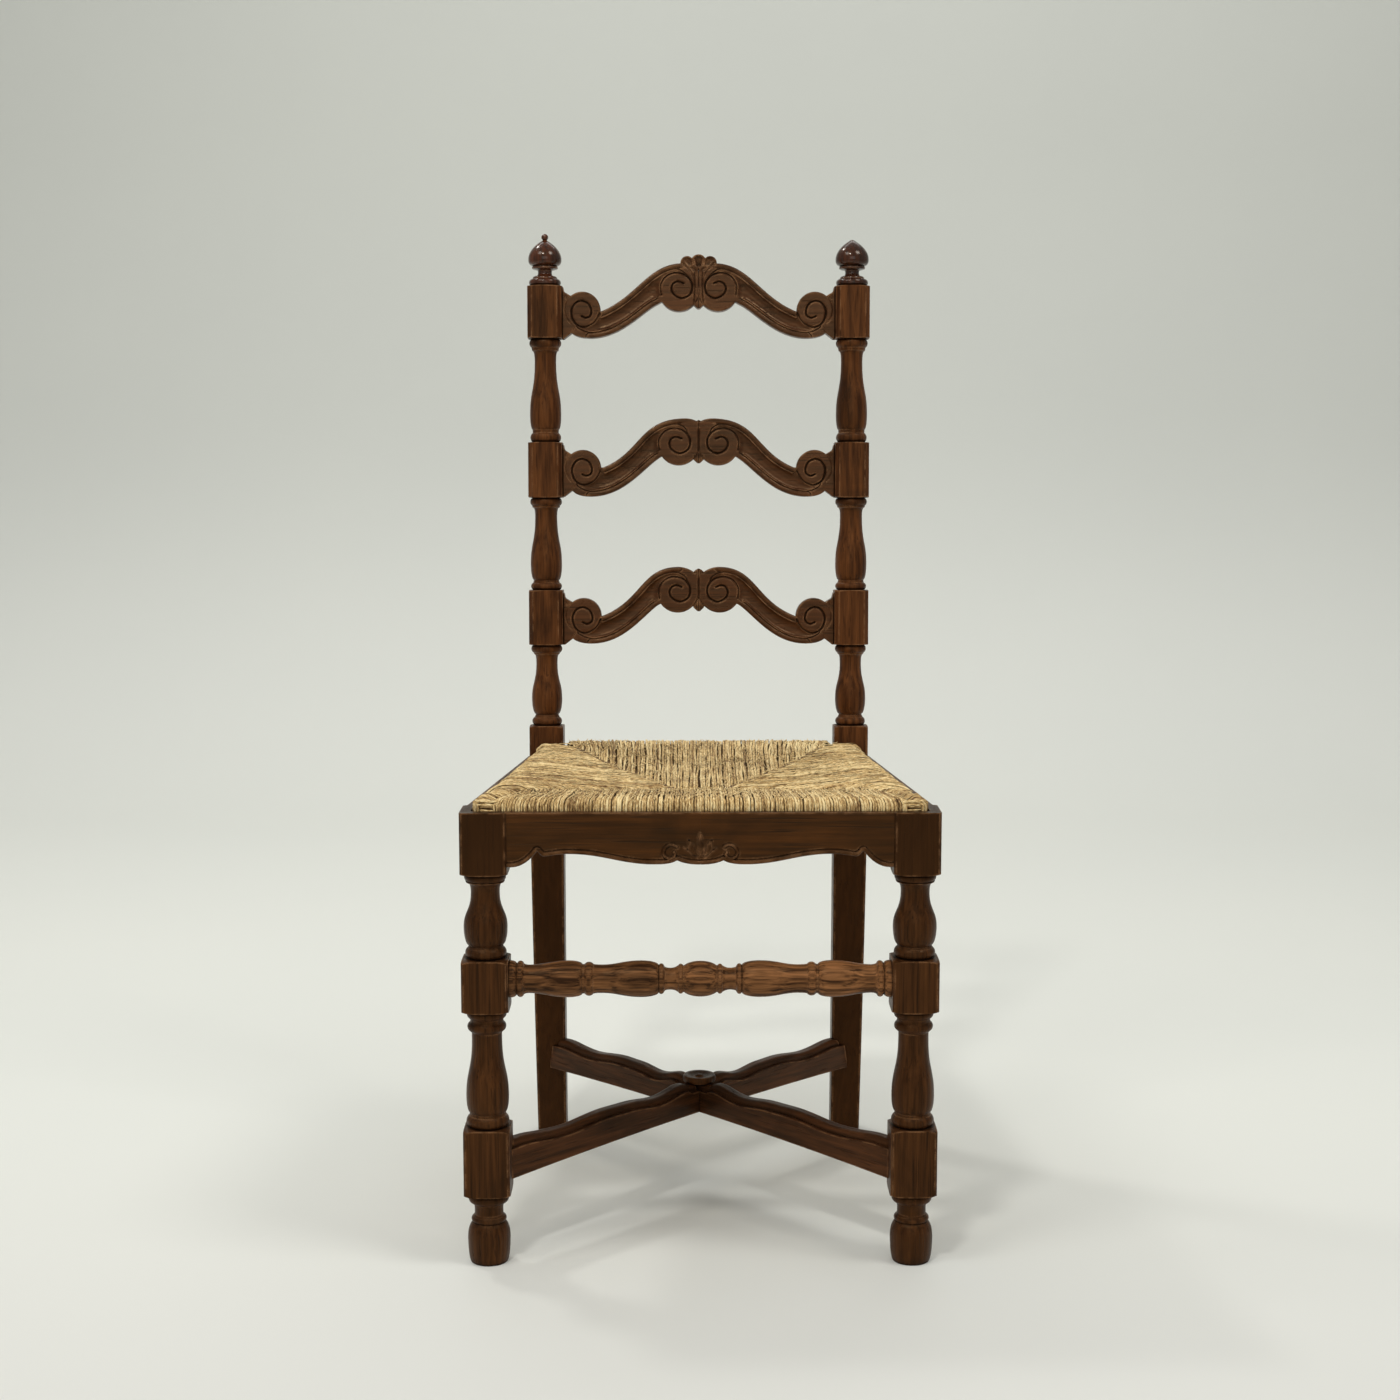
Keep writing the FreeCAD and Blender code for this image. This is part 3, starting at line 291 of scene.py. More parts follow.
def relief(outline, step, x0, x1, z0, z1):
    """A grid cut off along an outline, where the function gives 0: points, faces and border edges."""
    xs = np.linspace(x0, x1, int(round((x1 - x0) / step)) + 1)
    zs = np.linspace(z0, z1, int(round((z1 - z0) / step)) + 1)
    grid = np.array([(x, z) for x in xs for z in zs])
    d = outline(grid)
    rows = len(zs)
    points = []
    known = {}

    def vertex(a, b=None):
        key = (a, b) if b is None or a < b else (b, a)
        if key not in known:
            known[key] = len(points)
            if b is None:
                points.append(grid[a])
            else:
                a, b = key
                points.append(grid[a] + (grid[b] - grid[a]) * min(0.97, max(0.03, d[a] / (d[a] - d[b]))))
        return known[key]

    faces, border = [], []
    near = d.reshape(len(xs), rows) < 0
    busy = near[:-1, :-1] | near[1:, :-1] | near[:-1, 1:] | near[1:, 1:]
    for i, j in zip(*np.nonzero(busy)):
        c = i * rows + j
        ring = (c, c + rows, c + rows + 1, c + 1)
        face = []
        for a, b in zip(ring, ring[1:] + ring[:1]):
            if d[a] < 0:
                face.append((vertex(a), False))
            if (d[a] < 0) != (d[b] < 0):
                face.append((vertex(a, b), True))
        faces.append([v for v, _ in face])
        for (a, cut_a), (b, cut_b) in zip(face, face[1:] + face[:1]):
            if cut_a and cut_b:
                border.append((a, b))
    return np.array(points), faces, border


def solid(name, points, faces, smooth_angle=40.0):
    """A mesh object from points in metres."""
    mesh = bpy.data.meshes.new(name)
    mesh.from_pydata([tuple(p) for p in points], [], faces)
    mesh.validate()
    mesh.polygons.foreach_set("use_smooth", [True] * len(mesh.polygons))
    mesh.set_sharp_from_angle(angle=math.radians(smooth_angle))
    obj = bpy.data.objects.new(name, mesh)
    scene.collection.objects.link(obj)
    return obj


def carved(name, outline, depth, box, step, thick, place):
    """A symmetric carved board: its left half is worked out and mirrored.

    depth gives how far the face lies behind the board's front, and place carries
    (x, how far back, z) into the scene.
    """
    flat, faces, border = relief(outline, step, *box)
    sunk = depth(flat)
    front = np.column_stack([flat[:, 0], sunk, flat[:, 1]])
    count = len(front)
    rear = front.copy()
    rear[:, 1] = thick
    half = np.vstack([front, rear])
    total = len(half)
    polygons = [list(f) for f in faces] + [[v + count for v in reversed(f)] for f in faces]
    polygons += [[b, a, a + count, b + count] for a, b in border]
    points = np.vstack([half, half * (-1, 1, 1)])
    polygons += [[v + total for v in reversed(f)] for f in polygons]
    obj = solid(name, place(points), polygons)
    tidy = bmesh.new()
    tidy.from_mesh(obj.data)
    bmesh.ops.remove_doubles(tidy, verts=tidy.verts, dist=0.00002)
    bmesh.ops.recalc_face_normals(tidy, faces=tidy.faces)
    tidy.to_mesh(obj.data)
    tidy.free()
    obj.data.set_sharp_from_angle(angle=math.radians(40))
    return obj


# Slats: two S-shaped rails between four scrolls.

RAKE = math.radians(3.0)
POST_FACE = 150.6               # where a slat meets its post
SLAT_T = 16.0
POST_Y = 361.0                  # the back posts' axis behind the front legs', at the seat
EAR_X = 128.0                   # the outer scrolls' centre and radius
EAR_R = 19.8
CURL_R = 28.6                   # the inner scrolls' shoulder
Y_MID = -1000 * LEG_AXIS_Y      # what brings a distance behind the front legs into the scene
SLATS = {
    "crest_slat": dict(crown=541.9, drop=50.8, low=30.6, up=((108.7, -2.1), (66.7, 14.4), 55.9, 17.4),
                       down=(119.3, 84.3, (61.2, -51.3), (44.0, -44.0)), disc=(21.6, 30.2, 22.2)),
    "middle_slat": dict(crown=372.4, drop=54.4, low=31.7, up=((105.6, 0.5), (62.7, 17.7), 65.9, 14.8),
                        down=(119.3, 82.0, (60.7, -53.9), (41.9, -42.4)), disc=(22.0, 28.6, 23.0)),
    "lower_slat": dict(crown=208.5, drop=54.4, low=30.8, up=((122.7, -4.8), (62.0, 9.2), 68.5, 22.7),
                       down=(118.6, 81.8, (60.5, -52.3), (44.0, -41.8)), disc=(23.2, 27.4, 23.3)),
}
OUTER = through([(-108.8, -3.5), (-112.4, -10.4), (-117.6, -15.6), (-127.0, -19.1), (-136.5, -14.0),
                 (-140.2, -2.6), (-136.4, 6.4), (-129.0, 9.8), (-121.2, 6.2), (-118.0, -1.2),
                 (-119.4, -6.6), (-124.0, -8.8),
                 (-129.0, -7.0)])
INNER = through([(-43.6, -34.8), (-44.4, -24.6), (-39.0, -15.4), (-28.8, -10.8), (-17.7, -13.1),
                 (-10.8, -20.0), (-9.4, -27.4), (-12.2, -34.6), (-20.5, -38.5),
                 (-28.8, -35.2), (-32.4, -28.6), (-30.4, -22.8),
                 (-25.1, -20.3), (-18.9, -22.3)])


def slat(name, crown, drop, low, up, down, disc):
    """One carved slat, in the place and shape of its CAD node."""
    (xa, da), (xb, db), xc, xd = up
    upper = bezier([(-xa, da - drop), (-xb, db - drop), (-xc, 0), (-xd, 0)])
    xe, xf, g, h = down
    bottom = -drop - low
    lower = bezier([(-xe, bottom), (-xf, bottom), (-g[0], g[1]), (-h[0], h[1])])
    scroll = (-disc[0], -disc[1])
    crest = name == "crest_slat"
    over = arc(-xd, -CURL_R, CURL_R, 90, 50 if crest else 52.5)
    over = over[over[:, 0] <= 0]
    turn = bezier([(-xe, bottom), (-xe - 10, bottom), (-xe - 17, bottom + 2), (-139.8, -drop - 25.2)], 20)
    rail = np.vstack([upper, over, [(0, over[-1, 1] - 6), (0, -CURL_R), (-20, -30), lower[-1]], lower[::-1],
                      turn, [(-EAR_X, -drop)]])
    ear = np.array([(-POST_FACE, 26.0), (-149.4, 25.4), (-148.3, 20.6), (-147.2, 19.2), (-140.8, 15.4),
                    (-EAR_X, 0), (-139.6, -25.0), (-142.6, -27.4), (-148.4, -31.8),
                    (-POST_FACE, -32.4)]) + (0, -drop)
    tip = np.array([(0, -1.6), (-3.2, -3.2), (-6.4, -6.2), (-6.4, -44), (0, -44)])
    drop_tip = np.array([(0, -49.4), (-1.6, -49.0), (-5.8, -45.0), (-6.4, -20), (0, -20)])
    lobes = [(-12.6, 0.4, 7.4), (-0.4, 1.9, 7.7)]
    around = OUTER + (0, -drop)
    shift = (2.4, 0.3) if crest else (0, 0)
    curl = INNER + shift

    def outline(p):
        d = np.minimum(signed(p, rail), signed(p, ear))
        d = np.minimum(d, np.hypot(p[:, 0] + EAR_X, p[:, 1] + drop) - EAR_R)
        d = np.minimum(d, np.hypot(p[:, 0] - scroll[0], p[:, 1] - scroll[1]) - disc[2])
        d = np.minimum(d, signed(p, drop_tip))
        if not crest:
            return np.minimum(d, signed(p, tip))
        for x, z, r in lobes:
            d = np.minimum(d, np.hypot(p[:, 0] - x, p[:, 1] - z) - r)
        return d

    # The upper bead's quirk follows the upper edge and runs into the inner spiral, and the lower one's
    # follows the lower edge and runs into the outer spiral.
    start = int(np.argmin(np.abs(upper[:, 0] + 108)))
    quirk_up = beside(upper[start:], 5.4)
    quirk_up = quirk_up[quirk_up[:, 0] < -27]
    quirk_up = np.vstack([quirk_up, through([quirk_up[-1], (-21.5, -6.9), (-14.5, -11.4), curl[40]])])
    end = int(np.argmin(np.abs(lower[:, 0] + 46.5)))
    quirk_low = beside(lower[:end][::-1], 5.7)
    quirk_low = np.vstack([quirk_low, through([quirk_low[-1], (-126.0, bottom + 7.2), (-133.6, bottom + 11.4),
                           around[30]])[4:]])
    first_in = curl[:41]
    first_out = around[:31]
    hollow = np.vstack([quirk_up, first_in[::-1], quirk_low, first_out[::-1]])

    def depth(p):
        x, z = p.T
        d = -outline(p)
        out = np.maximum(0, 1.3 - np.sqrt(np.maximum(0, 1.69 - np.clip(1.3 - d, 0, 1.3) ** 2)))
        # Beads along both edges, which flatten out round the scrolls.
        to_up = distance(p, upper)
        to_low = distance(p, lower)
        bead_up = smooth(x, -112, -106) * (1 - smooth(x, -24, -10)) * (z > -drop - 12)
        bead_low = smooth(x, -140, -118) * (1 - smooth(x, -47, -43))
        for near, weight, wide in ((to_up, bead_up, 5.4), (to_low, bead_low, 5.7)):
            round_ = 3.0 * (1 - np.sqrt(np.clip(1 - ((wide / 2 - near) / (wide / 2 + 0.15)) ** 2, 0, 1)))
            out = np.maximum(out, weight * round_ * (near < wide))
        # Quirks and spirals.
        for line, wide, deep in ((quirk_up, 0.9, 2.0), (quirk_low, 0.9, 2.0), (curl, 1.35, 2.4),
                                 (around, 1.35, 2.4)):
            away = distance(p, line)
            out = np.maximum(out, deep * np.clip(1 - away / wide, 0, 1))
            if wide > 1:
                out += 0.5 * np.clip(1 - away / 3.6, 0, 1) ** 2
        # The hollow between the beads.
        within = inside(p, hollow)
        q = p[within]
        a = np.minimum(distance(q, quirk_up) - 1.7, distance(q, first_out) - 0.5)
        b = np.minimum(distance(q, quirk_low) - 1.5, distance(q, first_in) - 0.5)
        width = np.clip(a, 0, None) + np.clip(b, 0, None)
        share = np.clip(a, 0, None) / np.maximum(width, 1e-6)
        scoop = np.minimum(0.34 * width, 3.9) * np.sqrt(np.clip(4 * share * (1 - share), 0, 1)) + 0.55
        out[within] = np.maximum(out[within], np.where((a > 0) & (b > 0), scoop, 0.55))
        # The valley between the volutes, and what stands in it.
        reach = np.abs(np.hypot(x - scroll[0], z - scroll[1]) - disc[2])
        under = distance(p, arc(scroll[0], scroll[1], disc[2], -20, -60))
        out = np.maximum(out, 1.5 * np.clip(1 - under / 1.2, 0, 1))
        if crest:
            stem = distance(p, np.array([(-4.6, -9.0), (-4.2, -24.0), (-4.6, -37.0), (-5.4, -44.0)]))
            out = np.maximum(out, 1.6 * np.clip(1 - stem / 1.3, 0, 1))
            rim = distance(p, through([(-19.5, -0.6), (-13.0, -4.6), (-8.0, -9.4), (-4.9, -15.6)]))
            out = np.maximum(out, 1.5 * np.clip(1 - rim / 1.2, 0, 1))
            angle = np.arctan2(x, z + 17.0)
            far = np.hypot(x, z + 17.0)
            shell = np.array([(-21, 12), (0, 12), (0, -17), (-4.9, -15.6), (-8, -9.4), (-13, -4.6),
                              (-21, 0.5)])
            fan = (x > -21) & (z > -13.5) & (far > 5) & (rim > 0.2) & (signed(p, shell) < 0)
            flute = 1.9 * np.abs(np.sin(np.clip(np.abs(angle) / 0.47, 0, 3) * math.pi + math.pi / 2)) ** 0.7
            edge = smooth(d, 0.6, 3.4) * smooth(far, 5, 14)
            out = np.where(fan, np.maximum(out, (0.3 + flute) * edge), out)
        else:
            valley = 1.9 * np.clip(1 - np.abs(x) / 1.6, 0, 1) * smooth(z, -39, -35)
            valley *= 1 - smooth(z, -13, -10)
            out = np.maximum(out, valley)
            top = distance(p, arc(-xd, -CURL_R, CURL_R, 75, 50))
            out = np.maximum(out, 1.5 * np.clip(1 - top / 1.2, 0, 1) * (x > -8))
        facet = np.abs(x) * 0.16
        out = np.where((z < -41) & (x > -5.5) & (reach > 1.2), np.maximum(out, facet + 0.25), out)
        # A small leaf nicked into the ear.
        leaf = distance(p, np.array([(-146.6, 12.5), (-144.4, 17.0), (-142.8, 19.0)]) + (0, -drop))
        out = np.maximum(out, 0.9 * np.clip(1 - leaf / 1.8, 0, 1))
        rim = np.abs(np.hypot(x + EAR_X, z + drop) - EAR_R)
        ear_side = smooth(-x, 139.5, 141.5)
        return np.maximum(out, 0.8 * np.clip(1 - rim / 1.2, 0, 1) * ear_side)

    def place(q):
        x, back, z = q.T
        y = back - SLAT_T / 2
        z = z + crown
        return np.column_stack([x, POST_Y - Y_MID + y * math.cos(RAKE) + z * math.sin(RAKE),
                                SEAT_Z - y * math.sin(RAKE) + z * math.cos(RAKE)]) / 1000

    box = (-POST_FACE, 0.0, bottom - 1.0, 11.0 if crest else 1.0)
    obj = carved(name + "_carved", outline, depth, box, 0.5, SLAT_T, place)
    dress(obj, slat_wood)
    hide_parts(name)
    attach(obj, "frame")


for name, sizes in SLATS.items():
    slat(name, **sizes)


# Apron: a raised bead follows its lower edge and curls into two small scrolls.

APRON_FRONT = -21.05
APRON_SKIN = 9.0                # thickness in front of the rebate
APRON_T = 24.0
REBATE = 25.0
LEG_FACE = 184.85


def apron():
    """The apron in two pieces: a carved skin, and the thicker rail behind it below the rebate."""
    pieces = [[(1.0, 52.6), (0.957, 53.4), (0.903, 52.0), (0.842, 37.0)],
              [(0.842, 37.0), (0.827, 40.2), (0.819, 42.4), (0.803, 42.2)],
              [(0.803, 42.2), (0.751, 41.2), (0.729, 39.6), (0.664, 39.9)],
              [(0.664, 39.9), (0.501, 40.4), (0.403, 50.0), (0.239, 50.0)],
              [(0.239, 50.0), (0.185, 50.0), (0.147, 49.2), (0.120, 46.2)],
              [(0.120, 46.2), (0.082, 49.4), (0.044, 50.2), (0.0, 50.2)]]
    runs = [bezier([(-share * LEG_FACE, -down) for share, down in piece], 30) for piece in pieces]
    edge = np.vstack(runs)
    board = np.vstack([edge, [(0, 0), (-LEG_FACE, 0)]])
    ring = through([(-22.6, -33.0), (-25.4, -31.4), (-28.6, -31.0), (-32.2, -32.6), (-34.8, -36.2),
                    (-35.2, -39.8), (-33.4, -42.8), (-29.6, -44.6), (-25.8, -43.2),
                    (-24.2, -40.6), (-25.2, -38.4)])
    fronds = [through(q) for q in (
        [(-1.6, -41.0), (-2.2, -33.0), (-1.8, -25.0), (0.0, -19.5)],
        [(-3.0, -42.0), (-5.2, -36.0), (-7.0, -30.0), (-11.0, -26.5)],
        [(-4.0, -43.0), (-8.6, -39.6), (-12.4, -36.0), (-15.6, -33.6)],
        [(-11.0, -26.5), (-10.4, -30.0), (-12.4, -36.0)])]

    def outline(p):
        return signed(p, board)

    def depth(p):
        x, z = p.T
        near = distance(p, edge)
        worn = np.maximum(0, 1.0 + z) * (0.9 + 0.5 * np.sin(x * 0.13) * np.sin(x * 0.047 + 1.0))
        out = np.where(z > -1.4, worn * 0.8, 0.0)
        bead = np.sqrt(np.clip(1 - ((near - 2.0) / 2.0) ** 2, 0, 1))
        out = np.where(near < 4.0, 0.6 - 1.7 * bead, out)
        out += 1.2 * np.clip(1 - np.abs(near - 4.4) / 0.9, 0, 1)
        curl = distance(p, ring)
        out = np.where((curl < 1.0) & (near > 3.4), -1.1 * np.sqrt(np.clip(1 - (curl / 1.0) ** 2, 0, 1)), out)
        out += 0.9 * np.clip(1 - np.abs(curl - 1.7) / 0.9, 0, 1) * (near > 4.2)
        for line in fronds:
            out += 1.1 * np.clip(1 - distance(p, line) / 1.3, 0, 1) * (near > 4.6)
        return out

    def place(q):
        x, back, z = q.T
        return np.column_stack([x, APRON_FRONT - Y_MID + back, SEAT_Z + z]) / 1000

    face = carved("apron_carved", outline, depth, (-LEG_FACE, 0.0, -54.0, 0.0), 0.6, APRON_SKIN, place)
    rear = [tuple(q) for run in runs for q in run[:-1]] + [tuple(edge[-1])]
    rear = np.array(rear + [(-x, z) for x, z in rear[-2::-1]] + [(LEG_FACE, -REBATE), (-LEG_FACE, -REBATE)])
    count = len(rear)
    points = np.vstack([np.column_stack([rear[:, 0], np.full(count, y), rear[:, 1]])
                        for y in (APRON_SKIN - 0.1, APRON_T)])
    polygons = [list(range(count)), list(range(2 * count - 1, count - 1, -1))]
    polygons += [[i + count, (i + 1) % count + count, (i + 1) % count, i] for i in range(count)]
    body = solid("apron_back", place(points), polygons)
    for obj in (face, body):
        dress(obj, rail_wood)
        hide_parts("front_apron")
        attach(obj, "frame")


apron()


# Rush seat: cords wound over the rails, from four seams outwards and back underneath.

SEAT_FRONT = -10.85
SEAT_BACK = 367.99
NOTCH_Y = 341.1                 # the cut-outs round the back posts
NOTCH_X = 149.4
RAIL_FRONT_X = 228.45           # the side rails' outer face at the front legs' axis and at the posts'
RAIL_BACK_X = 186.5
RIM = 10.2                      # how far the rush stays inside that face
CORD_INSET = 1.7                # from the seat's outline to a cord's axis
CORD_PITCH = 2.6
rng = np.random.default_rng(7)


def side_at(y):
    """How far out the seat reaches at y."""
    return RAIL_FRONT_X + (RAIL_BACK_X - RAIL_FRONT_X) * y / POST_Y - RIM


def seat_plan():
    """The rush's outline in plan, its front corners cut off and the posts' corners cut out."""
    corner = side_at(SEAT_FRONT)
    left = [(-corner + 7, SEAT_FRONT), (-corner, SEAT_FRONT + 7), (-side_at(NOTCH_Y), NOTCH_Y),
            (-NOTCH_X, NOTCH_Y), (-NOTCH_X, SEAT_BACK)]
    return np.array(left + [(-x, y) for x, y in reversed(left)])


PLAN = seat_plan()
FRONT_SEAM = through([(-203, SEAT_FRONT), (-194, 18), (-182, 48), (-163, 72), (-136, 84), (-100, 89),
                      (-60, 92), (-28, 94)], 6)
BACK_SEAM = np.array([(-28.0, 94.0), (-70.0, 178.0), (-112.0, 266.0), (-147.0, 341.0)])
MIRROR = np.array([-1.0, 1.0])
SEAMS = [FRONT_SEAM, FRONT_SEAM * MIRROR, BACK_SEAM, BACK_SEAM * MIRROR,
         np.array([(-28.0, 94.0), (28.0, 94.0)])]


def top_of(p, behind=False):
    """Height of the rush at points in plan; behind picks the back section, which lies lower."""
    edge = -signed(p, PLAN)
    crest = 461.8 + 3.6 * np.clip((p[:, 1] - SEAT_FRONT) / (SEAT_BACK - SEAT_FRONT), 0, 1)
    around = np.where((p[:, 1] > 22) & (p[:, 1] < NOTCH_Y - 12), 15.0, 10.0)
    crest = np.where(around > 12, crest - 1.2 * (1 - smooth(edge, 4.0, 40.0)), crest)
    roll = np.clip(edge, 0, around)
    z = crest - around + np.sqrt(np.maximum(0, around ** 2 - (around - roll) ** 2))
    z -= 7.0 * smooth(edge, 8.0, 120.0)
    seam = np.min([distance(p, q) for q in SEAMS[2:4]], axis=0)
    z += (-4.6 if behind else 1.2) * np.exp(-(seam / 15.0) ** 2) * smooth(edge, 2.0, 22.0)
    across = np.min([distance(p, q) for q in SEAMS[:2] + SEAMS[4:]], axis=0)
    z -= 3.4 * np.exp(-(across / 5.0) ** 2) * smooth(edge, 4.0, 16.0)
    return z


def lay(start, end, bend, radius, behind=False, lift=0.0):
    """The path of one cord: from its seam over the top, round the edge and back underneath."""
    start, end = np.array(start, float), np.array(end, float)
    flat = np.linalg.norm(end - start)
    t = np.linspace(0, 1, max(5, int(flat / 4.5)))[:, None]
    control = np.array(bend, float)
    plan = start * (1 - t) ** 2 + 2 * control * t * (1 - t) + end * t * t
    sway = rng.normal(0, 0.35, 3)
    along = (end - start) / flat
    side = np.array([-along[1], along[0]])
    wave = sway[0] * np.sin(t * 7 + sway[1] * 9) + 0.4 * np.sin(t * 17 + sway[2] * 12)
    plan = plan + side * wave * np.clip(t * (1 - t) * 6, 0, 1)
    z = top_of(plan, behind) - radius + lift
    z[0] -= 3.5
    z[1] -= 0.8
    top = np.column_stack([plan, z])
    way = plan[-1] - plan[-2]
    way /= np.linalg.norm(way)
    down = np.array([[*end, h] for h in (448.0, 440.0, 432.0)])
    under = [[*(end - way * d), h] for d, h in ((1.0, 428.4), (3.5, 426.6), (9.0, 426.3))]
    tail = [[*(end + (start - end) * k), 427.0] for k in (0.3, 0.55, 0.8, 0.96)]
    return np.vstack([top, down, under, tail])


def cords():
    """Paths, radii and colour tones of all the cords."""
    made = []

    def add(start, end, bend, radius, behind=False, odd=0.0):
        tone = np.clip(rng.normal(0.5, 0.27) + odd, 0, 1)
        made.append((lay(start, end, bend, radius, behind, rng.normal(0, 0.35)), radius, tone))

    count = int(394 / CORD_PITCH)
    for x in np.linspace(-197, 197, count):
        x = x + rng.normal(0, 0.35)
        narrow = x * (0.965 - 0.0002 * abs(x))
        seam_y = np.interp(-abs(narrow), FRONT_SEAM[:, 0], FRONT_SEAM[:, 1]) + rng.normal(0, 1.2)
        add((narrow, seam_y), (x, SEAT_FRONT + CORD_INSET), (narrow, SEAT_FRONT + 30), rng.uniform(1.2, 1.6),
            odd=0.08)
    count = int(292 / CORD_PITCH)
    for x in np.linspace(-146, 146, count):
        x = x + rng.normal(0, 0.4)
        inner = x * 0.94
        y = 94.0 if abs(inner) < 28 else np.interp(abs(inner), -BACK_SEAM[:, 0], BACK_SEAM[:, 1])
        add((inner + rng.normal(0, 1.0), min(y, 334) + rng.normal(0, 1.5)), (x, SEAT_BACK - CORD_INSET),
            (inner, y * 0.4 + SEAT_BACK * 0.6), rng.uniform(1.25, 1.65), behind=True, odd=0.14)
    # Where on the seam a side cord starts, by the y at which it reaches the side.
    keys = [(-10, (-199, -9)), (17, (-192, 18)), (42, (-181, 46)), (62, (-163, 71)), (79, (-136, 84)),
            (98, (-100, 90)), (119, (-60, 93)), (140, (-28, 95)), (192, (-62, 165)), (253, (-97, 236)),
            (308, (-126, 299)), (338, (-145, 335))]
    ends = [k for k, _ in keys]
    for sign in (-1, 1):
        count = int(346 / CORD_PITCH)
        for y in np.linspace(-8.5, 337.0, count):
            y = y + rng.normal(0, 0.4)
            sx = np.interp(y, ends, [q[0] for _, q in keys]) + rng.normal(0, 1.0)
            sy = np.interp(y, ends, [q[1] for _, q in keys]) + rng.normal(0, 0.6)
            ex = side_at(y) - CORD_INSET
            if y < SEAT_FRONT + 7:
                ex -= SEAT_FRONT + 7 - y
            start, end = (sign * -sx, sy), (sign * ex, y)
            bend = (sign * (0.45 * -sx + 0.55 * ex), y - (y - sy) * 0.12)
            add(start, end, bend, rng.uniform(1.25, 1.75))
    # The first turns of the side cords cross each front corner, one above the other.
    front = SEAT_FRONT + CORD_INSET
    for sign in (-1, 1):
        for height in np.arange(428.6, 460.0, 2.7):
            x0 = rng.uniform(192, 195)
            corner = [(x0, front + 0.6), (202.0, front), (208.0, front + 0.2), (212.6, front + 2.6),
                      (215.4, front + 6.6), (216.0, front + 13.0)]
            flat = through([(sign * x, y) for x, y in corner], 3)
            z = height + rng.normal(0, 0.25) + 0.5 * np.sin(np.linspace(0, 5, len(flat)) + height)
            made.append((np.column_stack([flat, z]), rng.uniform(1.3, 1.6),
                         np.clip(rng.normal(0.55, 0.25), 0, 1)))
    # One long strand lies loose near each front corner.
    for sign, line in ((-1, [(-209, 36), (-202, 62), (-187, 70), (-168, 64), (-158, 40)]),
                       (1, [(206, 48), (188, 66), (166, 72)])):
        flat = through(line, 5)
        made.append((np.column_stack([flat, top_of(flat) + 1.0]), 1.15, 1.0))
    return made


def tubes(name, paths, sides=7, twist=0.13, pitch=15.0):
    """One mesh of cords with their length and angle as UV, and their tone as a colour attribute."""
    verts, faces, uvs, tones = [], [], [], []
    base = 0
    for line, radius, tone in paths:
        n = len(line)
        along = np.gradient(line, axis=0)
        along /= np.linalg.norm(along, axis=1)[:, None]
        flat = line[-1 if abs(line[-1, 2] - line[0, 2]) < 1 else n // 2, :2] - line[0, :2]
        side = np.array([-flat[1], flat[0], 0.0])
        side /= np.linalg.norm(side) + 1e-9
        up = np.cross(along, side)
        up /= np.linalg.norm(up, axis=1)[:, None] + 1e-9
        travelled = np.concatenate([[0], np.cumsum(np.linalg.norm(np.diff(line, axis=0), axis=1))])
        angle = np.linspace(0, 2 * math.pi, sides, endpoint=False)
        phase = 2 * math.pi * travelled / pitch + tone * 40
        swell = 1 + twist * np.cos(2 * angle[None] - phase[:, None])
        ends = np.minimum(1, np.minimum(np.arange(n) + 0.6, n - np.arange(n) - 0.4) / 1.2)
        r = radius * swell * ends[:, None]
        ring = line[:, None] + r[..., None] * (np.cos(angle)[None, :, None] * side
                                               + np.sin(angle)[None, :, None] * up[:, None])
        verts.append(ring.reshape(-1, 3))
        i = np.arange(n - 1)[:, None] * sides
        j = np.arange(sides)[None]
        k = (j + 1) % sides
        faces.append(np.stack([i + j, i + k, i + k + sides, i + j + sides], -1).reshape(-1, 4) + base)
        u = np.broadcast_to(travelled[:-1, None], (n - 1, sides))
        u2 = np.broadcast_to(travelled[1:, None], (n - 1, sides))
        va = np.broadcast_to(j, (n - 1, sides))
        quad = np.stack([np.stack(pair, -1) for pair in ((u, va), (u, va + 1), (u2, va + 1), (u2, va))], 2)
        uvs.append(quad.reshape(-1, 2) * (0.01, 1.0 / sides) + (tone * 37.0, 0))
        tones.append(np.full(n * sides, tone))
        base += n * sides
    verts = np.vstack(verts) - (0, Y_MID, 0)
    mesh = bpy.data.meshes.new(name)
    mesh.from_pydata([tuple(v) for v in verts / 1000], [], np.vstack(faces).tolist())
    mesh.polygons.foreach_set("use_smooth", [True] * len(mesh.polygons))
    layer = mesh.uv_layers.new(name="cord")
    layer.data.foreach_set("uv", np.vstack(uvs).astype(np.float32).ravel())
    tone = mesh.attributes.new("tone", "FLOAT", "POINT")
    tone.data.foreach_set("value", np.concatenate(tones).astype(np.float32))
    obj = bpy.data.objects.new(name, mesh)
    scene.collection.objects.link(obj)
    return obj


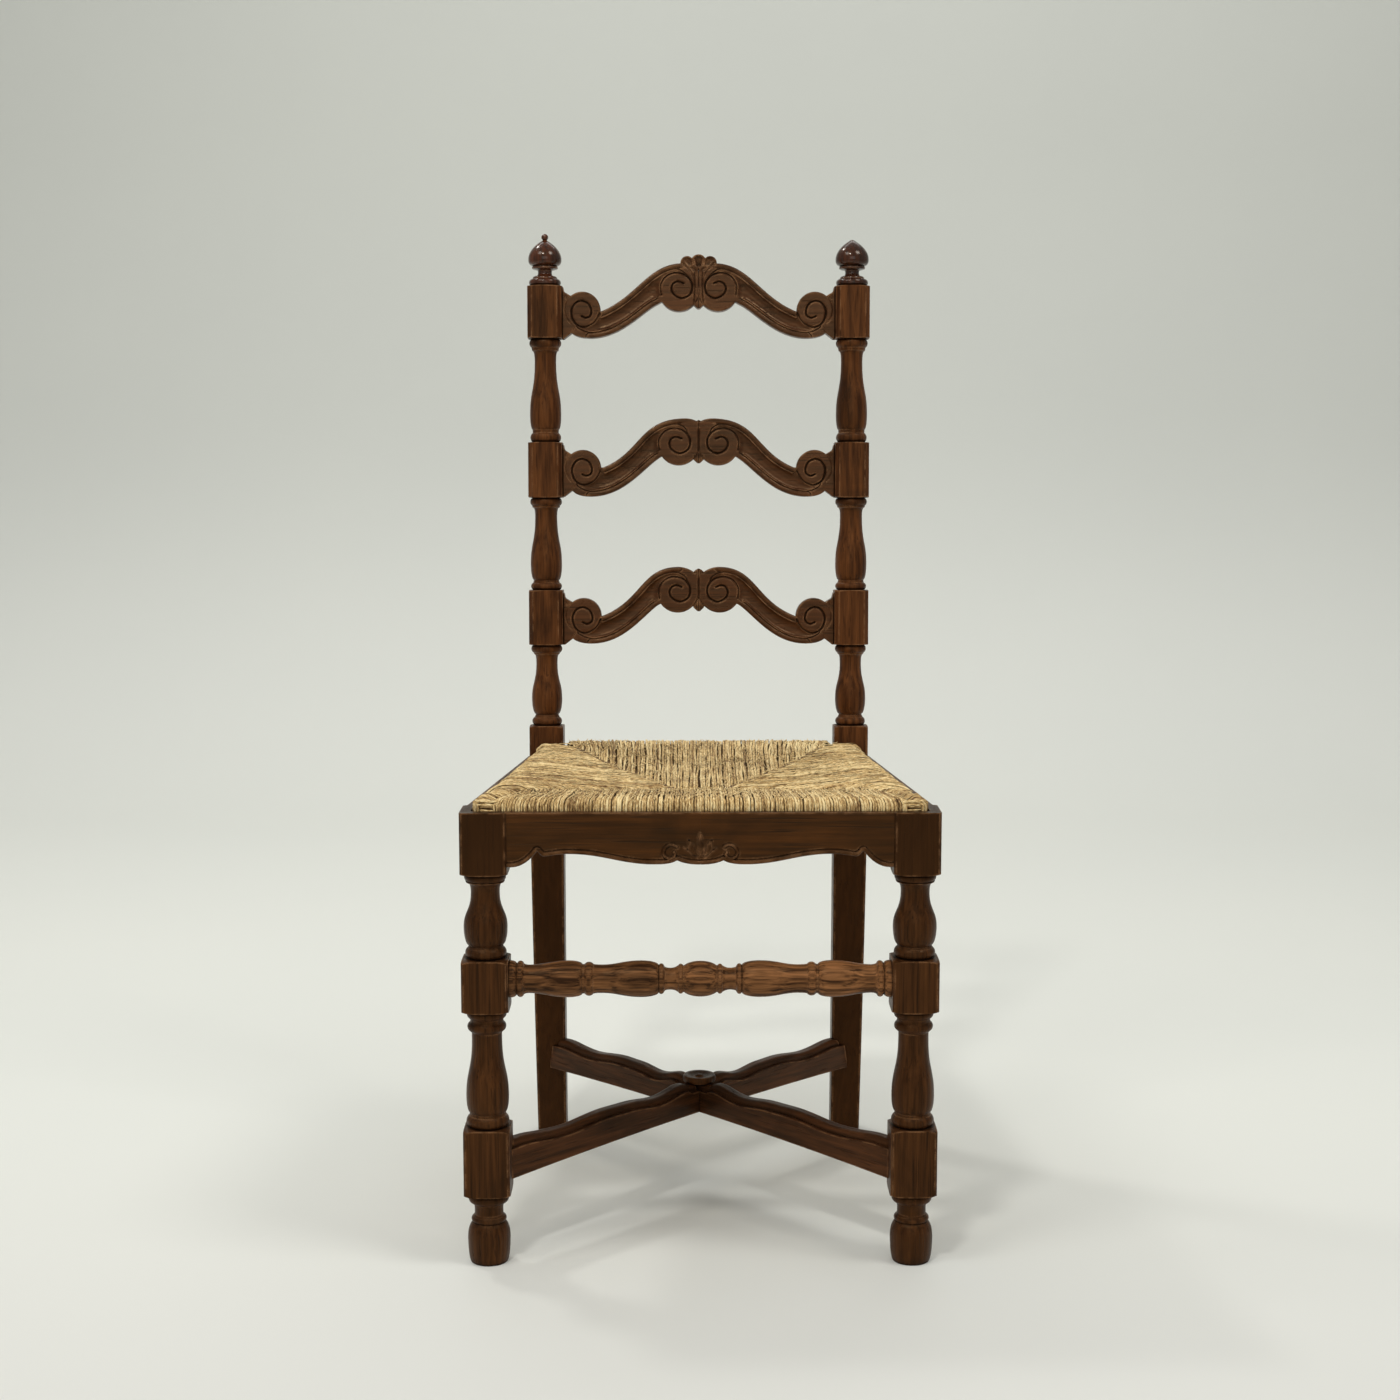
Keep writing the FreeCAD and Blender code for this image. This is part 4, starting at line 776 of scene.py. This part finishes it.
def rush_material(name):
    """Dry straw: fibres along each cord, light broken edges, and painted shade darkening the hollows between
    the cords.
    """
    s = Shader(name)
    place = s.add("TexCoord").outputs["Object"]
    uv = s.add("UVMap", uv_map="cord").outputs[0]
    tone = s.add("Attribute", attribute_name="tone").outputs["Fac"]
    fibre = s.noise(s.add("Mapping", {"Vector": uv, "Scale": (7.5, 3.0, 1.0)}).outputs[0], 3.0, 4.0, 0.7)
    streak = s.noise(s.add("Mapping", {"Vector": uv, "Scale": (2.6, 1.6, 1.0)}).outputs[0], 2.0, 2.0, 0.5)
    broad = s.noise(place, 14.0, 3.0, 0.55)
    value = s.math("MULTIPLY", s.math("SUBTRACT", fibre, 0.5), 3.8)
    value = s.math("ADD", value, s.math("MULTIPLY", tone, 0.7))
    value = s.math("ADD", value, s.math("MULTIPLY", s.math("SUBTRACT", streak, 0.5), 1.4))
    value = s.math("ADD", value, s.math("MULTIPLY", s.math("SUBTRACT", broad, 0.5), 0.8))
    value = s.math("ADD", value, 0.3, clamp=True)
    colour = s.mix(value, rgb(92, 60, 26), rgb(240, 200, 130))
    colour = s.mix(s.ramp(value, 0.7, 1.0), colour, rgb(248, 224, 168))
    brown = s.ramp(s.noise(place, 34.0, 3.0, 0.6), 0.56, 0.74)
    colour = s.mix(s.math("MULTIPLY", brown, 0.45), colour, rgb(118, 80, 42))
    # Painted shade: the straw turns dark brown in the hollows between the cords that ambient occlusion finds.
    hollow = s.add("AmbientOcclusion", {"Distance": 0.005}, samples=6).outputs["AO"]
    dark = s.math("MULTIPLY", s.ramp(hollow, 0.7, 0.2), 0.9)
    colour = s.mix(dark, colour, rgb(62, 40, 18))
    s.put(colour, s.bsdf.inputs["Base Color"])
    s.bsdf.inputs["Roughness"].default_value = 0.62
    s.bsdf.inputs["Specular IOR Level"].default_value = 0.35
    bump = s.add("Bump", {"Height": fibre, "Strength": 0.6, "Distance": 0.0006})
    s.put(bump.outputs[0], s.bsdf.inputs["Normal"])
    return s.mat


def rush_filling():
    """What shows between the cords: the stuffed body of the seat."""
    def outline(p):
        return signed(p, PLAN) + 2.6

    box = (-side_at(SEAT_FRONT), 0.0, SEAT_FRONT, SEAT_BACK)
    flat, faces, border = relief(outline, 5.0, *box)
    count = len(flat)
    top = top_of(flat) - 4.2
    low = np.full(count, 428.0)
    half = np.vstack([np.column_stack([flat, top]), np.column_stack([flat, low])])
    polygons = [list(f) for f in faces] + [[v + count for v in reversed(f)] for f in faces]
    polygons += [[b, a, a + count, b + count] for a, b in border]
    total = len(half)
    points = np.vstack([half, half * (-1, 1, 1)])
    polygons += [[v + total for v in reversed(f)] for f in polygons]
    obj = solid("rush_filling", (points - (0, Y_MID, 0)) / 1000, polygons)
    s = Shader("rush_dark")
    place = s.add("TexCoord").outputs["Object"]
    colour = s.mix(s.noise(place, 220.0, 4.0, 0.6), rgb(70, 48, 24), rgb(122, 90, 48))
    s.put(colour, s.bsdf.inputs["Base Color"])
    s.bsdf.inputs["Roughness"].default_value = 0.9
    dress(obj, s.mat)
    return obj


def loose_fibres():
    """Broken ends and stray fibres on the top of the seat."""
    made = []
    while len(made) < (1300):
        x = rng.uniform(-205, 205)
        y = rng.uniform(SEAT_FRONT + 5, SEAT_BACK - 6)
        at = np.array([[x, y]])
        if -signed(at, PLAN)[0] < 4:
            continue
        seam_y = np.interp(-abs(x), FRONT_SEAM[:, 0], FRONT_SEAM[:, 1])
        diagonal = 94 + (abs(x) - 28) * 2.08
        sideways = y > seam_y and y < diagonal
        turn = rng.normal(0, 0.24) + (0 if sideways else math.pi / 2)
        if sideways:
            turn += 0.25 * (1 if x > 0 else -1)
        way = np.array([math.cos(turn), math.sin(turn)])
        length = rng.uniform(6, 26)
        t = np.linspace(-0.5, 0.5, 7)[:, None]
        bow = np.array([-way[1], way[0]]) * rng.normal(0, 1.6)
        plan = at + way * t * length + bow * (t ** 2) * 4
        plan[:, 1] = np.clip(plan[:, 1], SEAT_FRONT + 2.5, SEAT_BACK - 2.5)
        ok = -signed(plan, PLAN) > 2.0
        if not ok.all():
            continue
        z = top_of(plan, behind=not sideways and y > seam_y) + 0.1 + rng.uniform(0, 0.5)
        z += np.maximum(0, t[:, 0] - 0.1) * rng.uniform(0, 4.5)
        made.append((np.column_stack([plan, z]), rng.uniform(0.22, 0.48), rng.uniform(0.5, 1.0)))
    return made


def rush():
    """The rush's cords, loose fibres and filling, which take the place of the plain seat."""
    straw = rush_material("rush_straw")
    paths = cords()
    body = tubes("rush_cords", paths)
    fibres = tubes("rush_fibres", loose_fibres(), sides=5, twist=0.0)
    filling = rush_filling()
    for obj in (body, fibres):
        dress(obj, straw)
    for obj in (body, fibres, filling):
        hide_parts("rush_seat")
        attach(obj, "seat")


rush()


# Stage, camera and lights.

def sweep_floor():
    """A floor that curves up into a backdrop behind the chair."""
    profile = [(-9.0, 0.0), (2.2, 0.0)]
    profile += [(2.2 + 1.6 * math.sin(a), 1.6 - 1.6 * math.cos(a))
                for a in np.linspace(0.08, math.pi / 2, 20)]
    profile.append((3.8, 7.0))
    verts = [(x, y, z) for y, z in profile for x in (-11.0, 11.0)]
    faces = [(2 * i, 2 * i + 1, 2 * i + 3, 2 * i + 2) for i in range(len(profile) - 1)]
    mesh = bpy.data.meshes.new("floor")
    mesh.from_pydata(verts, [], faces)
    mesh.polygons.foreach_set("use_smooth", [True] * len(faces))
    obj = bpy.data.objects.new("floor", mesh)
    scene.collection.objects.link(obj)
    s = Shader("floor_paint")
    place = s.add("TexCoord").outputs["Object"]
    tone = s.noise(place, 1.2, 3.0)
    floor = s.mix(tone, rgb(243, 244, 237), rgb(238, 240, 234))
    # Painted shade: the backdrop is a darker grey than the floor, and the floor greys from behind the chair
    # towards the camera.
    wall = s.mix(tone, rgb(220, 222, 215), rgb(214, 216, 210))
    height = s.add("SeparateXYZ", {0: place}).outputs[2]
    near = s.ramp(s.add("SeparateXYZ", {0: place}).outputs[1], 0.5, -1.0)
    floor = s.mix(near, floor, rgb(226, 226, 221))
    s.put(s.mix(s.ramp(height, 0.0, 0.9), floor, wall), s.bsdf.inputs["Base Color"])
    s.bsdf.inputs["Roughness"].default_value = 0.8
    s.bsdf.inputs["Specular IOR Level"].default_value = 0.15
    mesh.materials.append(s.mat)


def lamp(name, place, target, size, power, colour=(1.0, 1.0, 1.0)):
    """A rectangular area lamp aimed at a point, out of the camera's sight."""
    data = bpy.data.lights.new(name, "AREA")
    data.shape = "RECTANGLE"
    data.size, data.size_y = size
    data.energy = power
    data.color = colour
    obj = bpy.data.objects.new(name, data)
    obj.location = place
    obj.visible_camera = False
    obj.rotation_euler = (Vector(target) - Vector(place)).to_track_quat("-Z", "Y").to_euler()
    scene.collection.objects.link(obj)


sweep_floor()
WARM = (1.0, 0.985, 0.95)
lamp("key", (-0.65, -1.9, 3.2), (0, 0, 0.4), (0.3, 0.3), 22.0, WARM)
lamp("soft", (-1.4, -1.2, 3.0), (0, 0, 0.4), (0.9, 0.9), 15.0, WARM)
lamp("fill", (1.5, -0.9, 3.0), (0, 0, 0.4), (0.9, 0.9), 22.0, WARM)
lamp("rear", (-1.5, 1.2, 3.2), (0, 0, 0.2), (0.35, 0.35), 15.0, WARM)
lamp("front", (0.0, -4.2, 1.9), (0, 0, 0.6), (3.0, 1.6), 20.0)
lamp("back", (0.2, 2.0, 3.4), (0, 3.0, 0.6), (3.0, 1.0), 22.0)
world = bpy.data.worlds.new("studio")
scene.world = world
world.use_nodes = True
world.node_tree.nodes["Background"].inputs[0].default_value = (1.0, 1.0, 0.985, 1.0)
world.node_tree.nodes["Background"].inputs[1].default_value = 0.38

camera = bpy.data.objects.new("camera", bpy.data.cameras.new("camera"))
camera.data.sensor_width = 36.0
camera.data.lens = 57.88
camera.location = (-0.0106, -2.3344, 0.823)
camera.rotation_euler = (math.radians(82.85), 0.0, math.radians(-0.277))
scene.collection.objects.link(camera)
scene.camera = camera
scene.view_settings.view_transform = "Standard"
